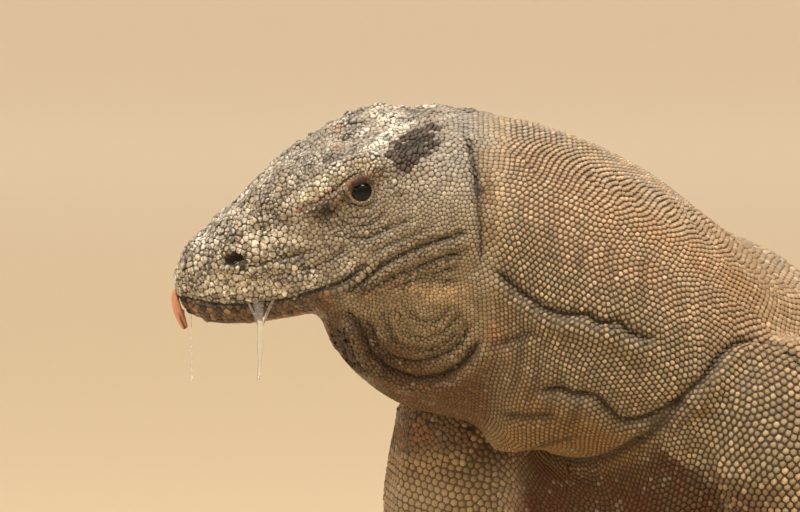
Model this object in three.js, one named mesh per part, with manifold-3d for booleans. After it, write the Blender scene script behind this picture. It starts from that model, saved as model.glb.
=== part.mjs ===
// A life-size standing model of a komodo dragon, head turned to its right and raised.
// Millimetres, +Z up, floor at Z = 0. The head points roughly towards -X and the tail towards +X.
// The animal's left side is -Y. Stations along the spine are distances from the snout tip.

import * as THREE from 'three';
import { mergeVertices } from 'three/addons/utils/BufferGeometryUtils.js';
import Module from 'manifold-3d';

const wasm = await Module();
wasm.setup();

// ---- Driving dimensions -------------------------------------------------------------------

const GAP = 0.3;                    // clear space between touching solids
const TOTAL_LENGTH = 2525;          // snout tip to tail tip along the spine

const NECK_START = 205;             // behind the ear
const CHEST_START = 318;            // gular fold
const BELLY_START = 725;
const TAIL_START = 1180;            // vent
const TAIL_JOINTS = [1525, 1865, 2205];

const SHOULDER = 384;               // spine station of the shoulder joints
const SHOULDER_HALF_SPAN = 104;
const HIP = 1100;
const HIP_HALF_SPAN = 74;

const EYE_RADIUS = 11;
const EYE_SIDES = { left: -1, right: 1 };
const EYE_PLACE = { back: 130.3, side: 37, up: 49 };
const NOSTRIL = { back: 44, side: 26.5, up: 21, long: 6.2, high: 3.0, deep: 4.5 };

const SNOUT_CAP = 1.5;              // station of the first ring
const MOUTH_CORNER = 150;           // station of the corner of the mouth
const JAW_UNDERSIDE = -34;          // where the lower jaw meets the throat

const RING_SIDES = 20;              // facets round the body
const FINEST = 0.06;                // slivers thinner than this are closed up

// ---- Curves through knots -----------------------------------------------------------------

// A smooth curve through (station, value) pairs that doesn't overshoot between them.
function through(...pairs) {
  const x = pairs.map((pair) => pair[0]);
  const y = pairs.map((pair) => pair[1]);
  const slope = x.slice(1).map((xi, i) => (y[i + 1] - y[i]) / (xi - x[i]));
  const tangent = x.map((_, i) => {
    const before = slope[Math.max(i - 1, 0)];
    const after = slope[Math.min(i, slope.length - 1)];
    return before * after <= 0 ? 0 : (2 * before * after) / (before + after);
  });
  return (at) => {
    const s = Math.min(Math.max(at, x[0]), x[x.length - 1]);
    let i = 0;
    while (i < x.length - 2 && s > x[i + 1]) i += 1;
    const span = x[i + 1] - x[i];
    const t = (s - x[i]) / span;
    const a = (1 + 2 * t) * (1 - t) ** 2;
    const b = t * (1 - t) ** 2 * span;
    const c = t * t * (3 - 2 * t);
    const d = t * t * (t - 1) * span;
    return a * y[i] + b * tangent[i] + c * y[i + 1] + d * tangent[i + 1];
  };
}

function smoothstep(from, to, at) {
  const t = Math.min(Math.max((at - from) / (to - from), 0), 1);
  return t * t * (3 - 2 * t);
}

const mix = (a, b, t) => a + (b - a) * t;
const degrees = THREE.MathUtils.degToRad;

// ---- The spine ----------------------------------------------------------------------------

// Place of the spine line.
const SPINE_X = through([0, -239], [200, -109], [252, -79], [312, -38], [385, 0], [525, 139], [725, 336],
  [925, 535], [1095, 705], [1205, 814], [1305, 900], [1425, 1001], [1565, 1130], [1725, 1286],
  [1965, 1522], [2215, 1769], [2415, 1964], [2525, 2072]);
const SPINE_Y = through([0, 171], [200, 26], [252, 6], [312, -5], [385, 0], [525, 32], [725, 62],
  [925, 74], [1095, 68], [1205, 54], [1305, 34], [1425, 4], [1565, -34], [1725, -62],
  [1965, -56], [2215, -4], [2415, 36], [2525, 44]);
const SPINE_Z = through([0, 416.5], [200, 461.5], [252, 428], [312, 385], [385, 328], [525, 306],
  [725, 292], [925, 283], [1095, 270], [1205, 236], [1305, 184], [1425, 122], [1565, 70], [1725, 44],
  [1965, 31.5], [2215, 20], [2415, 10.5], [2525, 4.5]);

// How each cross-section is turned: heading in plan, slope and roll, in degrees. Heading 0 faces
// the section along +X (tailwards), a positive slope tips its rear face up, a positive roll lifts
// the animal's right side.
const HEADING = through([0, -48], [180, -48], [252, -30], [312, -8], [385, 12], [525, 11], [725, 6],
  [925, 0], [1095, -6], [1205, -10], [1365, -15], [1565, -12], [1725, -3],
  [1965, 8], [2215, 11], [2415, 7], [2525, 2]);
const SLOPE = through([0, 13], [110, 13], [150, 8], [200, -3], [252, -15], [312, -24], [385, -20],
  [490, -8], [725, -3], [1095, -8], [1205, -20], [1305, -28], [1425, -24], [1565, -14], [1725, -4],
  [1965, -3], [2525, -3]);
const ROLL = through([0, 21], [180, 21], [280, 9], [385, 0], [2525, 0]);

// The frame of the cross-section at station s: its centre and its back, right and up directions.
function frameAt(s) {
  const heading = degrees(HEADING(s));
  const slope = degrees(SLOPE(s));
  const roll = degrees(ROLL(s));
  const back = new THREE.Vector3(
    Math.cos(slope) * Math.cos(heading), Math.cos(slope) * Math.sin(heading), Math.sin(slope));
  const level = new THREE.Vector3(-Math.sin(heading), Math.cos(heading), 0);
  const plumb = new THREE.Vector3().crossVectors(back, level);
  const right = level.clone().multiplyScalar(Math.cos(roll)).addScaledVector(plumb, Math.sin(roll));
  const up = new THREE.Vector3().crossVectors(back, right);
  const centre = new THREE.Vector3(SPINE_X(s), SPINE_Y(s), SPINE_Z(s));
  return { centre, back, right, up };
}

// A point given beside and above the spine line at a station.
function beside(s, side, rise, ahead = 0) {
  const { centre, back, right, up } = frameAt(s);
  return centre.clone().addScaledVector(right, side).addScaledVector(up, rise)
    .addScaledVector(back, -ahead);
}

// A point in the straight frame of the head.
function onHead(back, side, up) {
  return beside(0, side, up, -back);
}

// ---- Cross-sections -----------------------------------------------------------------------

// The head, as five points of its right half at each station: crown, brow edge, cheek, lip, jaw.
const HEAD_TOP = through([0, 5], [4, 11], [9, 18], [16, 26], [28, 32], [54, 46], [74, 60], [92, 66],
  [112, 65], [135, 63.5], [160, 63], [185, 63.5], [210, 60]);
const BROW_Y = through([0, 3], [8, 10], [15, 14], [28, 18], [54, 22], [74, 26], [95, 33], [115, 38],
  [135, 41], [150, 41], [170, 42], [190, 44], [210, 48]);
const BROW_Z = through([0, 3], [8, 15], [15, 21], [28, 27], [54, 39], [74, 51], [95, 60], [115, 67],
  [135, 66], [150, 62], [170, 58], [190, 53], [210, 47]);
const CHEEK_Y = through([0, 5], [8, 15], [15, 20], [28, 26], [45, 29], [70, 34], [95, 40], [115, 44],
  [135, 49], [150, 57], [170, 64], [190, 67], [210, 68]);
const CHEEK_Z = through([0, 0], [15, 7], [45, 12], [95, 18], [130, 24], [170, 22], [210, 8]);
const LIP_Y = through([0, 5], [8, 14], [15, 19], [28, 25], [45, 28], [70, 35], [95, 42], [115, 49],
  [135, 56], [150, 61], [170, 65], [210, 68]);
const LIP_Z = through([0, -5], [27, -9], [70, -9], [110, -6], [150, -14], [210, -34]);
const JAW_Y = through([0, 3], [8, 10], [15, 14], [28, 18], [45, 21], [70, 27], [92, 32], [121, 33],
  [150, 39], [210, 54]);
const JAW_Z = through([0, -11], [8, -17], [15, -21], [28, -25], [45, -27], [68, -28], [80, -32],
  [88, -50], [97, -70], [118, -91], [150, -102], [210, -112]);
const HEAD_BOTTOM = through([0, -11], [8, -18], [15, -23], [28, -27], [45, -32], [68, -35], [76, -38],
  [83, -74], [96, -98], [117, -119], [150, -130], [210, -142]);

// The neck, trunk and tail: half width, and heights above and below the spine line.
const BODY_WIDTH = through([150, 66], [210, 70], [252, 80], [312, 97], [385, 116], [490, 128],
  [665, 150], [845, 158], [985, 140], [1095, 112], [1205, 84], [1305, 70], [1465, 57],
  [1725, 42], [1965, 30], [2215, 18], [2415, 9], [2525, 2.5]);
const BODY_TOP = through([150, 70], [200, 61], [252, 82], [312, 98], [385, 134], [430, 137], [465, 128],
  [510, 110], [560, 100], [665, 102], [845, 108], [985, 104], [1095, 97], [1205, 82], [1305, 73], [1465, 64],
  [1725, 50], [1965, 38], [2215, 24], [2415, 13], [2525, 3.5]);
const BODY_BOTTOM = through([150, 128], [200, 141], [252, 118], [312, 80], [338, 86], [385, 112],
  [490, 120], [665, 126], [845, 121], [985, 108], [1095, 92], [1205, 73], [1305, 66], [1465, 58],
  [1725, 45.5], [1965, 33], [2215, 21.5], [2415, 12], [2525, 5]);

// Half of a cross-section as [side, rise] points, from the crown round to the belly.
function headHalf(s) {
  return [
    [0, HEAD_TOP(s)], [BROW_Y(s), BROW_Z(s)], [CHEEK_Y(s), CHEEK_Z(s)],
    [LIP_Y(s), LIP_Z(s)], [JAW_Y(s), JAW_Z(s)], [0, HEAD_BOTTOM(s)],
  ];
}

function bodyHalf(s) {
  const width = BODY_WIDTH(s);
  const top = BODY_TOP(s);
  const bottom = BODY_BOTTOM(s);
  return [
    [0, top], [width * 0.7, top * 0.66], [width, top * 0.05],
    [width * 0.93, -bottom * 0.38], [width * 0.6, -bottom * 0.8], [0, -bottom],
  ];
}

// The closed ring of points at a station, in space, grown outwards by a small allowance.
function ringAt(s, grow = 0) {
  const blend = smoothstep(160, 225, s);
  const head = headHalf(s);
  const body = bodyHalf(s);
  const half = head.map(([side, rise], i) => [
    mix(side, body[i][0], blend), mix(rise, body[i][1], blend)]);
  const loop = [...half, ...half.slice(1, -1).reverse().map((point) => [-point[0], point[1]])];
  const outline = new THREE.CatmullRomCurve3(
    loop.map((point) => new THREE.Vector3(point[0], point[1], 0)), true, 'centripetal');
  const { centre, right, up } = frameAt(s);
  return Array.from({ length: RING_SIDES }, (_, i) => {
    const point = outline.getPoint(i / RING_SIDES);
    const radius = Math.hypot(point.x, point.y);
    point.multiplyScalar((radius + grow) / radius);
    return centre.clone().addScaledVector(right, point.x).addScaledVector(up, point.y);
  });
}

// ---- Closed meshes ------------------------------------------------------------------------

// A closed skin over a row of rings with equal point counts, capped flat at both ends.
function loft(rings) {
  const sides = rings[0].length;
  const points = rings.flat();
  const faces = [];
  for (let r = 0; r < rings.length - 1; r += 1) {
    for (let i = 0; i < sides; i += 1) {
      const a = r * sides + i;
      const b = r * sides + ((i + 1) % sides);
      faces.push(a, a + sides, b);
      faces.push(b, a + sides, b + sides);
    }
  }
  const capEnd = (ring, start, flip) => {
    const hub = points.length;
    const middle = ring.reduce((sum, p) => sum.add(p), new THREE.Vector3()).divideScalar(sides);
    points.push(middle);
    for (let i = 0; i < sides; i += 1) {
      const a = start + i;
      const b = start + ((i + 1) % sides);
      if (flip) faces.push(hub, b, a);
      else faces.push(hub, a, b);
    }
  };
  capEnd(rings[0], 0, false);
  capEnd(rings[rings.length - 1], (rings.length - 1) * sides, true);
  const geometry = new THREE.BufferGeometry();
  geometry.setAttribute('position',
    new THREE.Float32BufferAttribute(points.flatMap((p) => [p.x, p.y, p.z]), 3));
  geometry.setIndex(faces);
  return geometry;
}

function solid(geometry) {
  const bare = geometry.clone();
  bare.deleteAttribute('normal');
  bare.deleteAttribute('uv');
  const merged = mergeVertices(bare, 1e-5);
  const make = (index) => new wasm.Manifold(new wasm.Mesh({
    numProp: 3,
    vertProperties: new Float32Array(merged.attributes.position.array),
    triVerts: new Uint32Array(index),
  }));
  const body = make(merged.index.array);
  if (body.volume() > 0) return body;
  const turned = Array.from(merged.index.array);
  for (let i = 0; i < turned.length; i += 3) [turned[i], turned[i + 1]] = [turned[i + 1], turned[i]];
  return make(turned);
}

function joined(pieces) {
  return pieces.reduce((sum, piece) => sum.add(piece));
}

// The separate bodies of a cut solid, highest first.
function fromTop(body) {
  return body.decompose().sort((a, b) => b.boundingBox().max[2] - a.boundingBox().max[2]);
}

function geometryOf(body) {
  const mesh = body.simplify(FINEST).getMesh();
  const geometry = new THREE.BufferGeometry();
  geometry.setAttribute('position', new THREE.Float32BufferAttribute(mesh.vertProperties, 3));
  geometry.setIndex(Array.from(mesh.triVerts));
  return geometry;
}

// ---- The body, as lengths of one loft -----------------------------------------------------

// Distance between rings: close on the snout, wide on the trunk.
const RING_STEP = through([0, 3], [12, 7], [40, 11], [190, 12], [300, 16], [480, 40], [1200, 54],
  [1700, 60], [2400, 44], [2525, 22]);

function stations(from, to) {
  const list = [from];
  while (list[list.length - 1] < to) list.push(list[list.length - 1] + RING_STEP(list[list.length - 1]));
  const stretch = (to - from) / (list[list.length - 1] - from);
  return list.map((s) => from + (s - from) * stretch);
}

function bodyLength(from, to) {
  return solid(loft(stations(from, to).map((s) => ringAt(s))));
}

// A copy of neighbouring lengths in one piece, larger all round by the gap, to cut others clear.
function clearanceOf(spans) {
  const list = spans.flatMap(([from, to]) => stations(from, to));
  list[0] -= GAP;
  return solid(loft(list.map((s) => ringAt(s, GAP))));
}

// ---- Limbs --------------------------------------------------------------------------------

// A swept limb through stations { at, wide, deep }: at is its centre line, wide its half width
// across the limb and deep its half depth fore and aft. Rings are turned by the given side vector.
function limb(list, sides, steps, side) {
  const line = new THREE.CatmullRomCurve3(list.map((item) => item.at), false, 'centripetal');
  const wide = through(...list.map((item, i) => [i, item.wide]));
  const deep = through(...list.map((item, i) => [i, item.deep]));
  const rings = [];
  for (let k = 0; k <= steps; k += 1) {
    const t = k / steps;
    const along = line.getTangent(t);
    const across = side.clone().addScaledVector(along, -side.dot(along)).normalize();
    const third = new THREE.Vector3().crossVectors(along, across);
    const centre = line.getPoint(t);
    rings.push(Array.from({ length: sides }, (_, i) => {
      const angle = (2 * Math.PI * (i + 0.5)) / sides;
      return centre.clone()
        .addScaledVector(across, Math.cos(angle) * wide(t * (list.length - 1)))
        .addScaledVector(third, Math.sin(angle) * deep(t * (list.length - 1)));
    }));
  }
  return loft(rings);
}

const FLOOR = solid(new THREE.BoxGeometry(4000, 2000, 200).translate(900, 0, -100));

const PALM_HEIGHT = 14;             // centre of the palm above the floor, its sole planed flat

// Each leg is laid out from its root joint, given as [spine station, side, distance from the spine,
// shift forwards]. raised lifts the start of its muscle above the joint. The other places are
// [forward of the joint, outward of it, height above the floor].
const LEGS = {
  left_front: { root: [SHOULDER, -1, SHOULDER_HALF_SPAN - 4, 6], raised: 44, front: true,
    elbow: [-44, 50, 178], wrist: [-30, 60, 46], palm: [14, 68, PALM_HEIGHT], point: -12 },
  right_front: { root: [SHOULDER, 1, SHOULDER_HALF_SPAN + 20, -4], raised: 20, front: true,
    elbow: [8, 40, 184], wrist: [34, 44, 46], palm: [80, 54, PALM_HEIGHT], point: -10 },
  left_hind: { root: [HIP, -1, HIP_HALF_SPAN, 0], raised: 6, front: false,
    elbow: [95, 123, 207], wrist: [4, 150, 52], palm: [62, 172, PALM_HEIGHT], point: -16 },
  right_hind: { root: [HIP, 1, HIP_HALF_SPAN, 0], raised: 6, front: false,
    elbow: [30, 140, 196], wrist: [-92, 150, 52], palm: [-34, 174, PALM_HEIGHT], point: -20 },
};

// Limb sizes from the root down, as [half width fore and aft, half thickness].
const UPPER_FRONT = [[50, 40], [62, 54], [60, 54], [48, 45], [40, 40]];
const LOWER_FRONT = [[40, 40], [39, 40], [32, 34], [27, 27], [27, 24]];
const UPPER_HIND = [[62, 50], [76, 66], [68, 60], [53, 50], [44, 44]];
const LOWER_HIND = [[44, 44], [43, 46], [35, 36], [29, 27], [30, 25]];
const FRONT_INWARD = 22;            // from the joint to where the limb's muscle starts
const HIND_INWARD = 38;

// Toe lengths and the angle of each from the middle of the foot, inner toe first.
const FRONT_TOES = [[44, -46], [58, -22], [66, 0], [64, 22], [46, 52]];
const HIND_TOES = [[46, -36], [66, -18], [84, -2], [98, 14], [60, 58]];
const TOE_RADIUS = 11;
const TOE_END_HEIGHT = 10;
const CLAW_LENGTH = 27;
const CLAW_CLEARANCE = 1.2;         // from the end of the toe to the root of the claw
const ANKLE_CUT = 0.14;             // share of the lower limb that goes with the foot

function legPlaces(leg) {
  const [s, sign, span, shift] = leg.root;
  const heading = degrees(HEADING(s));
  const forward = new THREE.Vector3(-Math.cos(heading), -Math.sin(heading), 0);
  const outward = new THREE.Vector3(-Math.sin(heading), Math.cos(heading), 0).multiplyScalar(sign);
  const root = beside(s, sign * span, 0).addScaledVector(forward, shift);
  const place = ([ahead, out, height]) => {
    const point = root.clone().addScaledVector(forward, ahead).addScaledVector(outward, out);
    point.z = height;
    return point;
  };
  return { root, forward, outward, place, sign };
}

// The stretch between two joints of a limb, with a small muscle curve half way.
function limbStretch(from, to, radii, bulge) {
  return radii.map(([wide, deep], i) => {
    const t = i / (radii.length - 1);
    const at = from.clone().lerp(to, t).addScaledVector(bulge, Math.sin(Math.PI * t));
    return { at, wide, deep };
  });
}

// The pieces of one leg, before they are cut by each other: upper, lower, foot and claws.
function buildLeg(name, leg) {
  const { root, forward, outward, place, sign } = legPlaces(leg);
  const elbow = place(leg.elbow);
  const wrist = place(leg.wrist);
  const palm = place(leg.palm);
  const inner = root.clone().addScaledVector(outward, leg.front ? -FRONT_INWARD : -HIND_INWARD);
  inner.z += leg.raised;
  const bend = forward.clone().multiplyScalar(leg.front ? -6 : 8);
  const sizes = leg.front ? [UPPER_FRONT, LOWER_FRONT] : [UPPER_HIND, LOWER_HIND];
  const upperStations = limbStretch(root, elbow, sizes[0].slice(1), bend);
  const lowerStations = limbStretch(elbow, wrist, sizes[1], bend);
  const first = { at: inner, wide: sizes[0][0][0], deep: sizes[0][0][1] };
  const kneeRadius = (sizes[1][0][0] + sizes[1][0][1]) / 2;
  const whole = joined([
    solid(limb([first, ...upperStations], 10, 7, forward)),
    solid(limb(lowerStations, 10, 6, forward)),
    ball(elbow, kneeRadius, [1, 1, 1], null, [10, 6]),
  ]);

  // The foot runs forward from the wrist, turned outwards a little.
  const aim = forward.clone().applyAxisAngle(new THREE.Vector3(0, 0, 1), degrees(leg.point) * sign);
  const level = new THREE.Vector3(-aim.y, aim.x, 0);
  const heel = wrist.clone().setZ(leg.front ? 26 : 30).addScaledVector(aim, -6);
  const palmEnd = palm.clone().addScaledVector(aim, 10);
  const solePieces = [solid(limb([
    { at: wrist.clone().add(new THREE.Vector3(0, 0, 26)), wide: 24, deep: 22 },
    { at: wrist.clone().addScaledVector(aim, 2), wide: 28, deep: 26 },
    { at: heel.clone().lerp(palm, 0.45).setZ(18), wide: 34, deep: 21 },
    { at: palm, wide: 38, deep: 17.5 },
    { at: palmEnd.clone().addScaledVector(aim, 10).setZ(12), wide: 33, deep: 13 },
  ], 8, 5, level))];
  const claws = [];
  (leg.front ? FRONT_TOES : HIND_TOES).forEach(([length, spread], i) => {
    const turn = degrees(spread) * sign * -1;
    const ahead = aim.clone().applyAxisAngle(new THREE.Vector3(0, 0, 1), turn);
    const across = new THREE.Vector3(-ahead.y, ahead.x, 0);
    const start = palm.clone().addScaledVector(ahead, 14);
    const toeAt = (along, height) => start.clone().addScaledVector(ahead, along).setZ(height);
    const toeEnd = length + 4;
    solePieces.push(solid(limb([
      { at: toeAt(-6, 10.5), wide: TOE_RADIUS, deep: 11 },
      { at: toeAt(length * 0.3, 13.5), wide: TOE_RADIUS, deep: 11.5 },
      { at: toeAt(length * 0.62, 10.5), wide: TOE_RADIUS - 1.5, deep: 11 },
      { at: toeAt(length * 0.86, 7.6), wide: TOE_RADIUS - 1.5, deep: 10.5 },
      { at: toeAt(toeEnd, TOE_END_HEIGHT), wide: 6.6, deep: 7.6 },
    ], 6, 3, across)));
    claws.push({ name: `${name}_claw_${i + 1}`, tip: toeAt, from: toeEnd + CLAW_CLEARANCE, across });
  });
  const thigh = elbow.clone().sub(root).normalize();
  const shank = wrist.clone().sub(elbow).normalize();
  return {
    whole, foot: joined(solePieces).subtract(FLOOR), claws,
    knee: partingPlate(elbow, thigh.clone().add(shank), 90),
    ankle: partingPlate(wrist.clone().lerp(elbow, ANKLE_CUT), shank, 60),
  };
}

// A hooked claw that starts at the end of a toe.
function claw({ tip, from, across }) {
  const bend = [[0, TOE_END_HEIGHT], [0.3, 11.9], [0.55, 10.9], [0.78, 7.7], [1, 2.5]];
  const thick = [[4.6, 6.0], [4.2, 5.4], [3.3, 4.2], [2.1, 2.8], [0.5, 0.7]];
  return limb(bend.map(([t, height], i) => ({
    at: tip(from + t * CLAW_LENGTH, height), wide: thick[i][0], deep: thick[i][1],
  })), 5, 4, across);
}

// A thin plate square to a line at a point, used to part a limb at a joint.
function partingPlate(at, along, reach) {
  const plate = new THREE.BoxGeometry(reach * 2, reach * 2, GAP);
  const flat = new THREE.Vector3(0, 0, 1);
  const turn = new THREE.Quaternion().setFromUnitVectors(flat, along.clone().normalize());
  plate.applyQuaternion(turn);
  plate.translate(at.x, at.y, at.z);
  return solid(plate);
}

// ---- Head details -------------------------------------------------------------------------

// The line between the lips, as rise over station.
const MOUTH_LINE = through([-20, -4], [6, -5], [27, -8], [48, -9], [70, -8.5], [96, -3], [112, 3],
  [MOUTH_CORNER, 18]);

// The block that holds the lower jaw, seen from the side: lips above, throat line below.
function jawBlock(grow) {
  const outline = new THREE.Shape();
  outline.moveTo(-20, MOUTH_LINE(-20) + grow);
  for (let s = -8; s <= MOUTH_CORNER; s += 14) outline.lineTo(s, MOUTH_LINE(s) + grow);
  outline.lineTo(MOUTH_CORNER + grow, MOUTH_LINE(MOUTH_CORNER) + grow);
  outline.lineTo(MOUTH_CORNER + grow, JAW_UNDERSIDE - grow);
  outline.lineTo(82 + grow, JAW_UNDERSIDE + 2 - grow);
  outline.lineTo(76 + grow, -60);
  outline.lineTo(-20, -60);
  const block = new THREE.ExtrudeGeometry(outline, { depth: 200, bevelEnabled: false });
  block.translate(0, 0, -100);
  const { centre, back, right, up } = frameAt(0);
  const basis = new THREE.Matrix4().makeBasis(back, up, right.clone().multiplyScalar(-1));
  basis.setPosition(centre);
  block.applyMatrix4(basis);
  return solid(block);
}

function ball(centre, radius, squash = [1, 1, 1], turn = null, detail = [12, 7]) {
  const sphere = new THREE.SphereGeometry(radius, ...detail);
  sphere.scale(...squash);
  if (turn) sphere.applyMatrix4(turn);
  sphere.translate(centre.x, centre.y, centre.z);
  return solid(sphere);
}

const headBasis = () => {
  const { back, right, up } = frameAt(0);
  return new THREE.Matrix4().makeBasis(back, right, up);
};

function nostrilPit(sign) {
  const at = onHead(NOSTRIL.back, sign * NOSTRIL.side, NOSTRIL.up);
  const tilt = new THREE.Matrix4().makeRotationY(degrees(-20));
  const { long, high, deep } = NOSTRIL;
  return ball(at, 1, [long, deep, high], headBasis().multiply(tilt), [10, 6]);
}

// The tip of the tongue, hanging over the front of the lower lip.
function tongueTip() {
  const hang = [[2, -2.5, -1], [0.2, -3.5, -5], [-0.4, -4, -11], [-0.2, -4.5, -18], [0.8, -5, -25]];
  const size = [[3.4, 2.6], [3.6, 3.0], [3.4, 3.2], [3.0, 2.9], [2.0, 1.7]];
  return limb(hang.map((place, i) => ({ at: onHead(...place), wide: size[i][0], deep: size[i][1] })),
    6, 6, frameAt(0).right);
}

// A strand of saliva that hangs straight down from a place on the lip.
function strand(place, radii, length) {
  const start = onHead(...place);
  return limb(radii.map((radius, i) => ({
    at: start.clone().add(new THREE.Vector3(0, 0, (-length * i) / (radii.length - 1))),
    wide: radius, deep: radius,
  })), 5, 5, new THREE.Vector3(1, 0, 0));
}

// ---- Finishes -----------------------------------------------------------------------------

const finish = (color, roughness) => new THREE.MeshStandardMaterial({ color, roughness, metalness: 0 });
const FINISHES = {
  hide: finish('#7d6f58', 0.75),
  headHide: finish('#857a68', 0.7),
  throatHide: finish('#6f5d42', 0.75),
  eye: finish('#120d0a', 0.08),
  claw: finish('#3a332c', 0.4),
  tongue: finish('#c97b55', 0.35),
  saliva: finish('#e8e4da', 0.08),
};

const model = new THREE.Group();

function show(name, body, surface) {
  const mesh = new THREE.Mesh(geometryOf(body), surface.clone());
  mesh.name = name;
  model.add(mesh);
  return mesh;
}

// ---- Head ---------------------------------------------------------------------------------

const headSpan = [SNOUT_CAP, NECK_START - GAP / 2];
const headWhole = bodyLength(...headSpan);
let head = headWhole.subtract(jawBlock(GAP));
Object.values(EYE_SIDES).forEach((sign) => {
  const at = onHead(EYE_PLACE.back, sign * EYE_PLACE.side, EYE_PLACE.up);
  head = head.subtract(ball(at, EYE_RADIUS + GAP));
  head = head.subtract(nostrilPit(sign));
});
const lowerJaw = headWhole.intersect(jawBlock(0));
show('head', head, FINISHES.headHide);
show('lower_jaw', lowerJaw, FINISHES.throatHide);
Object.entries(EYE_SIDES).forEach(([side, sign]) => {
  const at = onHead(EYE_PLACE.back, sign * EYE_PLACE.side, EYE_PLACE.up);
  show(`${side}_eye`, ball(at, EYE_RADIUS), FINISHES.eye);
});
const muzzleClearance = clearanceOf([headSpan]);
show('tongue', solid(tongueTip()).subtract(muzzleClearance), FINISHES.tongue);
show('saliva_1', solid(strand([47, -26, -22], [3.2, 2.4, 2.6, 1.6, 1.2, 1.6, 0.8], 37))
  .subtract(muzzleClearance), FINISHES.saliva);
show('saliva_2', solid(strand([7, -8, -14], [0.9, 0.7, 0.6, 0.9, 0.5], 42))
  .subtract(muzzleClearance), FINISHES.saliva);

// ---- Neck, trunk and tail -----------------------------------------------------------------

const cuts = [NECK_START, CHEST_START, BELLY_START, TAIL_START, ...TAIL_JOINTS, TOTAL_LENGTH - 2];
const names = ['neck', 'chest', 'belly', 'tail_1', 'tail_2', 'tail_3', 'tail_4'];
const spans = names.map((_, i) => [cuts[i] + GAP / 2, cuts[i + 1] - GAP / 2]);
names.forEach((name, i) => {
  show(name, bodyLength(...spans[i]).subtract(FLOOR), FINISHES.hide);
});

// ---- Legs ---------------------------------------------------------------------------------

const frontClearance = clearanceOf([headSpan, ...spans.slice(0, 3)]);
const hindClearance = clearanceOf(spans.slice(1, 4));
Object.entries(LEGS).forEach(([name, leg]) => {
  const { whole, foot, claws, knee, ankle } = buildLeg(name, leg);
  const bare = whole.subtract(leg.front ? frontClearance : hindClearance);
  const [upper, rest] = fromTop(bare.add(foot).subtract(knee));
  const [lower, sole] = fromTop(rest.subtract(ankle));
  show(`${name}_upper`, upper, FINISHES.hide);
  show(`${name}_lower`, lower, FINISHES.hide);
  show(`${name}_foot`, sole, FINISHES.hide);
  claws.forEach((item) => show(item.name, solid(claw(item)), FINISHES.claw));
});

// The origin is on the floor, under the middle of the model.
const box = new THREE.Box3().setFromObject(model);
model.position.set(-(box.min.x + box.max.x) / 2, -(box.min.y + box.max.y) / 2, 0);

export default model;
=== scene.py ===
import math

import bmesh
import bpy
import numpy as np
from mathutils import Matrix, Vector
from mathutils.bvhtree import BVHTree
from mathutils.kdtree import KDTree


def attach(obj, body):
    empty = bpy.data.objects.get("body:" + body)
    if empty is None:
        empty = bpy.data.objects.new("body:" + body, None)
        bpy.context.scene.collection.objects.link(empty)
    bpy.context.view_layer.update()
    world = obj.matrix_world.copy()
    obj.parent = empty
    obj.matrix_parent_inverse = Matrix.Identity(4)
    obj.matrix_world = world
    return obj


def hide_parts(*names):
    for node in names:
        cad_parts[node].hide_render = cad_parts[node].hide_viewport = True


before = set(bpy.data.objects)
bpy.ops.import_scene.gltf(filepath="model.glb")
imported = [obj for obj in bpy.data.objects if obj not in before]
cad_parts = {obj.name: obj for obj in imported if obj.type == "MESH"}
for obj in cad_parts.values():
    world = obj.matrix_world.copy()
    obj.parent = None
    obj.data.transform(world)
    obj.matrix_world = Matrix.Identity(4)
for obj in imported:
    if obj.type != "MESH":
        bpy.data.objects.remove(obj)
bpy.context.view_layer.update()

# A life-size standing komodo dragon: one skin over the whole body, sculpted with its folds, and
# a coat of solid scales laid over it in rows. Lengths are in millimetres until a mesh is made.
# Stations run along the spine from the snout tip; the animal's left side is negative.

MM = 0.001
MERGE = 1e-5                        # metres, between corners that are one
OVERLAP = 0.4                       # how far the solids are swelled so that they join
RANDOM = np.random.default_rng(7)

SIDES = {"left": -1, "right": 1}
BODY_NODES = ["head", "lower_jaw", "neck", "chest", "belly", "tail_1", "tail_2", "tail_3", "tail_4"]
EYE_NODES = ["left_eye", "right_eye"]
LEG_NAMES = ["left_front", "right_front", "left_hind", "right_hind"]
LEG_NODES = {leg: [f"{leg}_{part}" for part in ("upper", "lower", "foot")] for leg in LEG_NAMES}


# ---- Small mathematics ----

class Curve:
    """A smooth curve through (station, value) knots that doesn't overshoot between them."""

    def __init__(self, *knots):
        self.x = np.array([knot[0] for knot in knots], float)
        self.y = np.array([knot[1] for knot in knots], float)
        rise = np.diff(self.y) / np.diff(self.x)
        before = np.r_[rise[0], rise]
        after = np.r_[rise, rise[-1]]
        total = np.where(before + after == 0, 1, before + after)
        self.slope = np.where(before * after <= 0, 0, 2 * before * after / total)

    def __call__(self, at):
        s = np.clip(at, self.x[0], self.x[-1])
        i = np.clip(np.searchsorted(self.x, s, "right") - 1, 0, len(self.x) - 2)
        span = self.x[i + 1] - self.x[i]
        t = (s - self.x[i]) / span
        return ((1 + 2 * t) * (1 - t) ** 2 * self.y[i] + t * (1 - t) ** 2 * span * self.slope[i]
                + t * t * (3 - 2 * t) * self.y[i + 1]
                + t * t * (t - 1) * span * self.slope[i + 1])


def smooth(low, high, value):
    """0 below low, 1 above high and an even ease between them."""
    t = np.clip((value - low) / (high - low), 0, 1)
    return t * t * (3 - 2 * t)


def blend(first, second, share):
    return first + (second - first) * share


def bell(distance, width):
    return np.exp(-(distance / width) ** 2)


def length(vectors):
    return np.linalg.norm(vectors, axis=-1)


def unit(vectors):
    return vectors / np.maximum(length(vectors)[..., None], 1e-9)


def dot(a, b):
    return (a * b).sum(-1)


def close_to(line, points, reach):
    """Which points may lie within a reach of a line."""
    low, high = line.min(0) - reach, line.max(0) + reach
    return np.where(((points > low) & (points < high)).all(1))[0]


def squared_gaps(points, line):
    """Squared distances from each point to each place on a line."""
    return dot(points, points)[:, None] - 2 * points @ line.T + dot(line, line)


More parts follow.
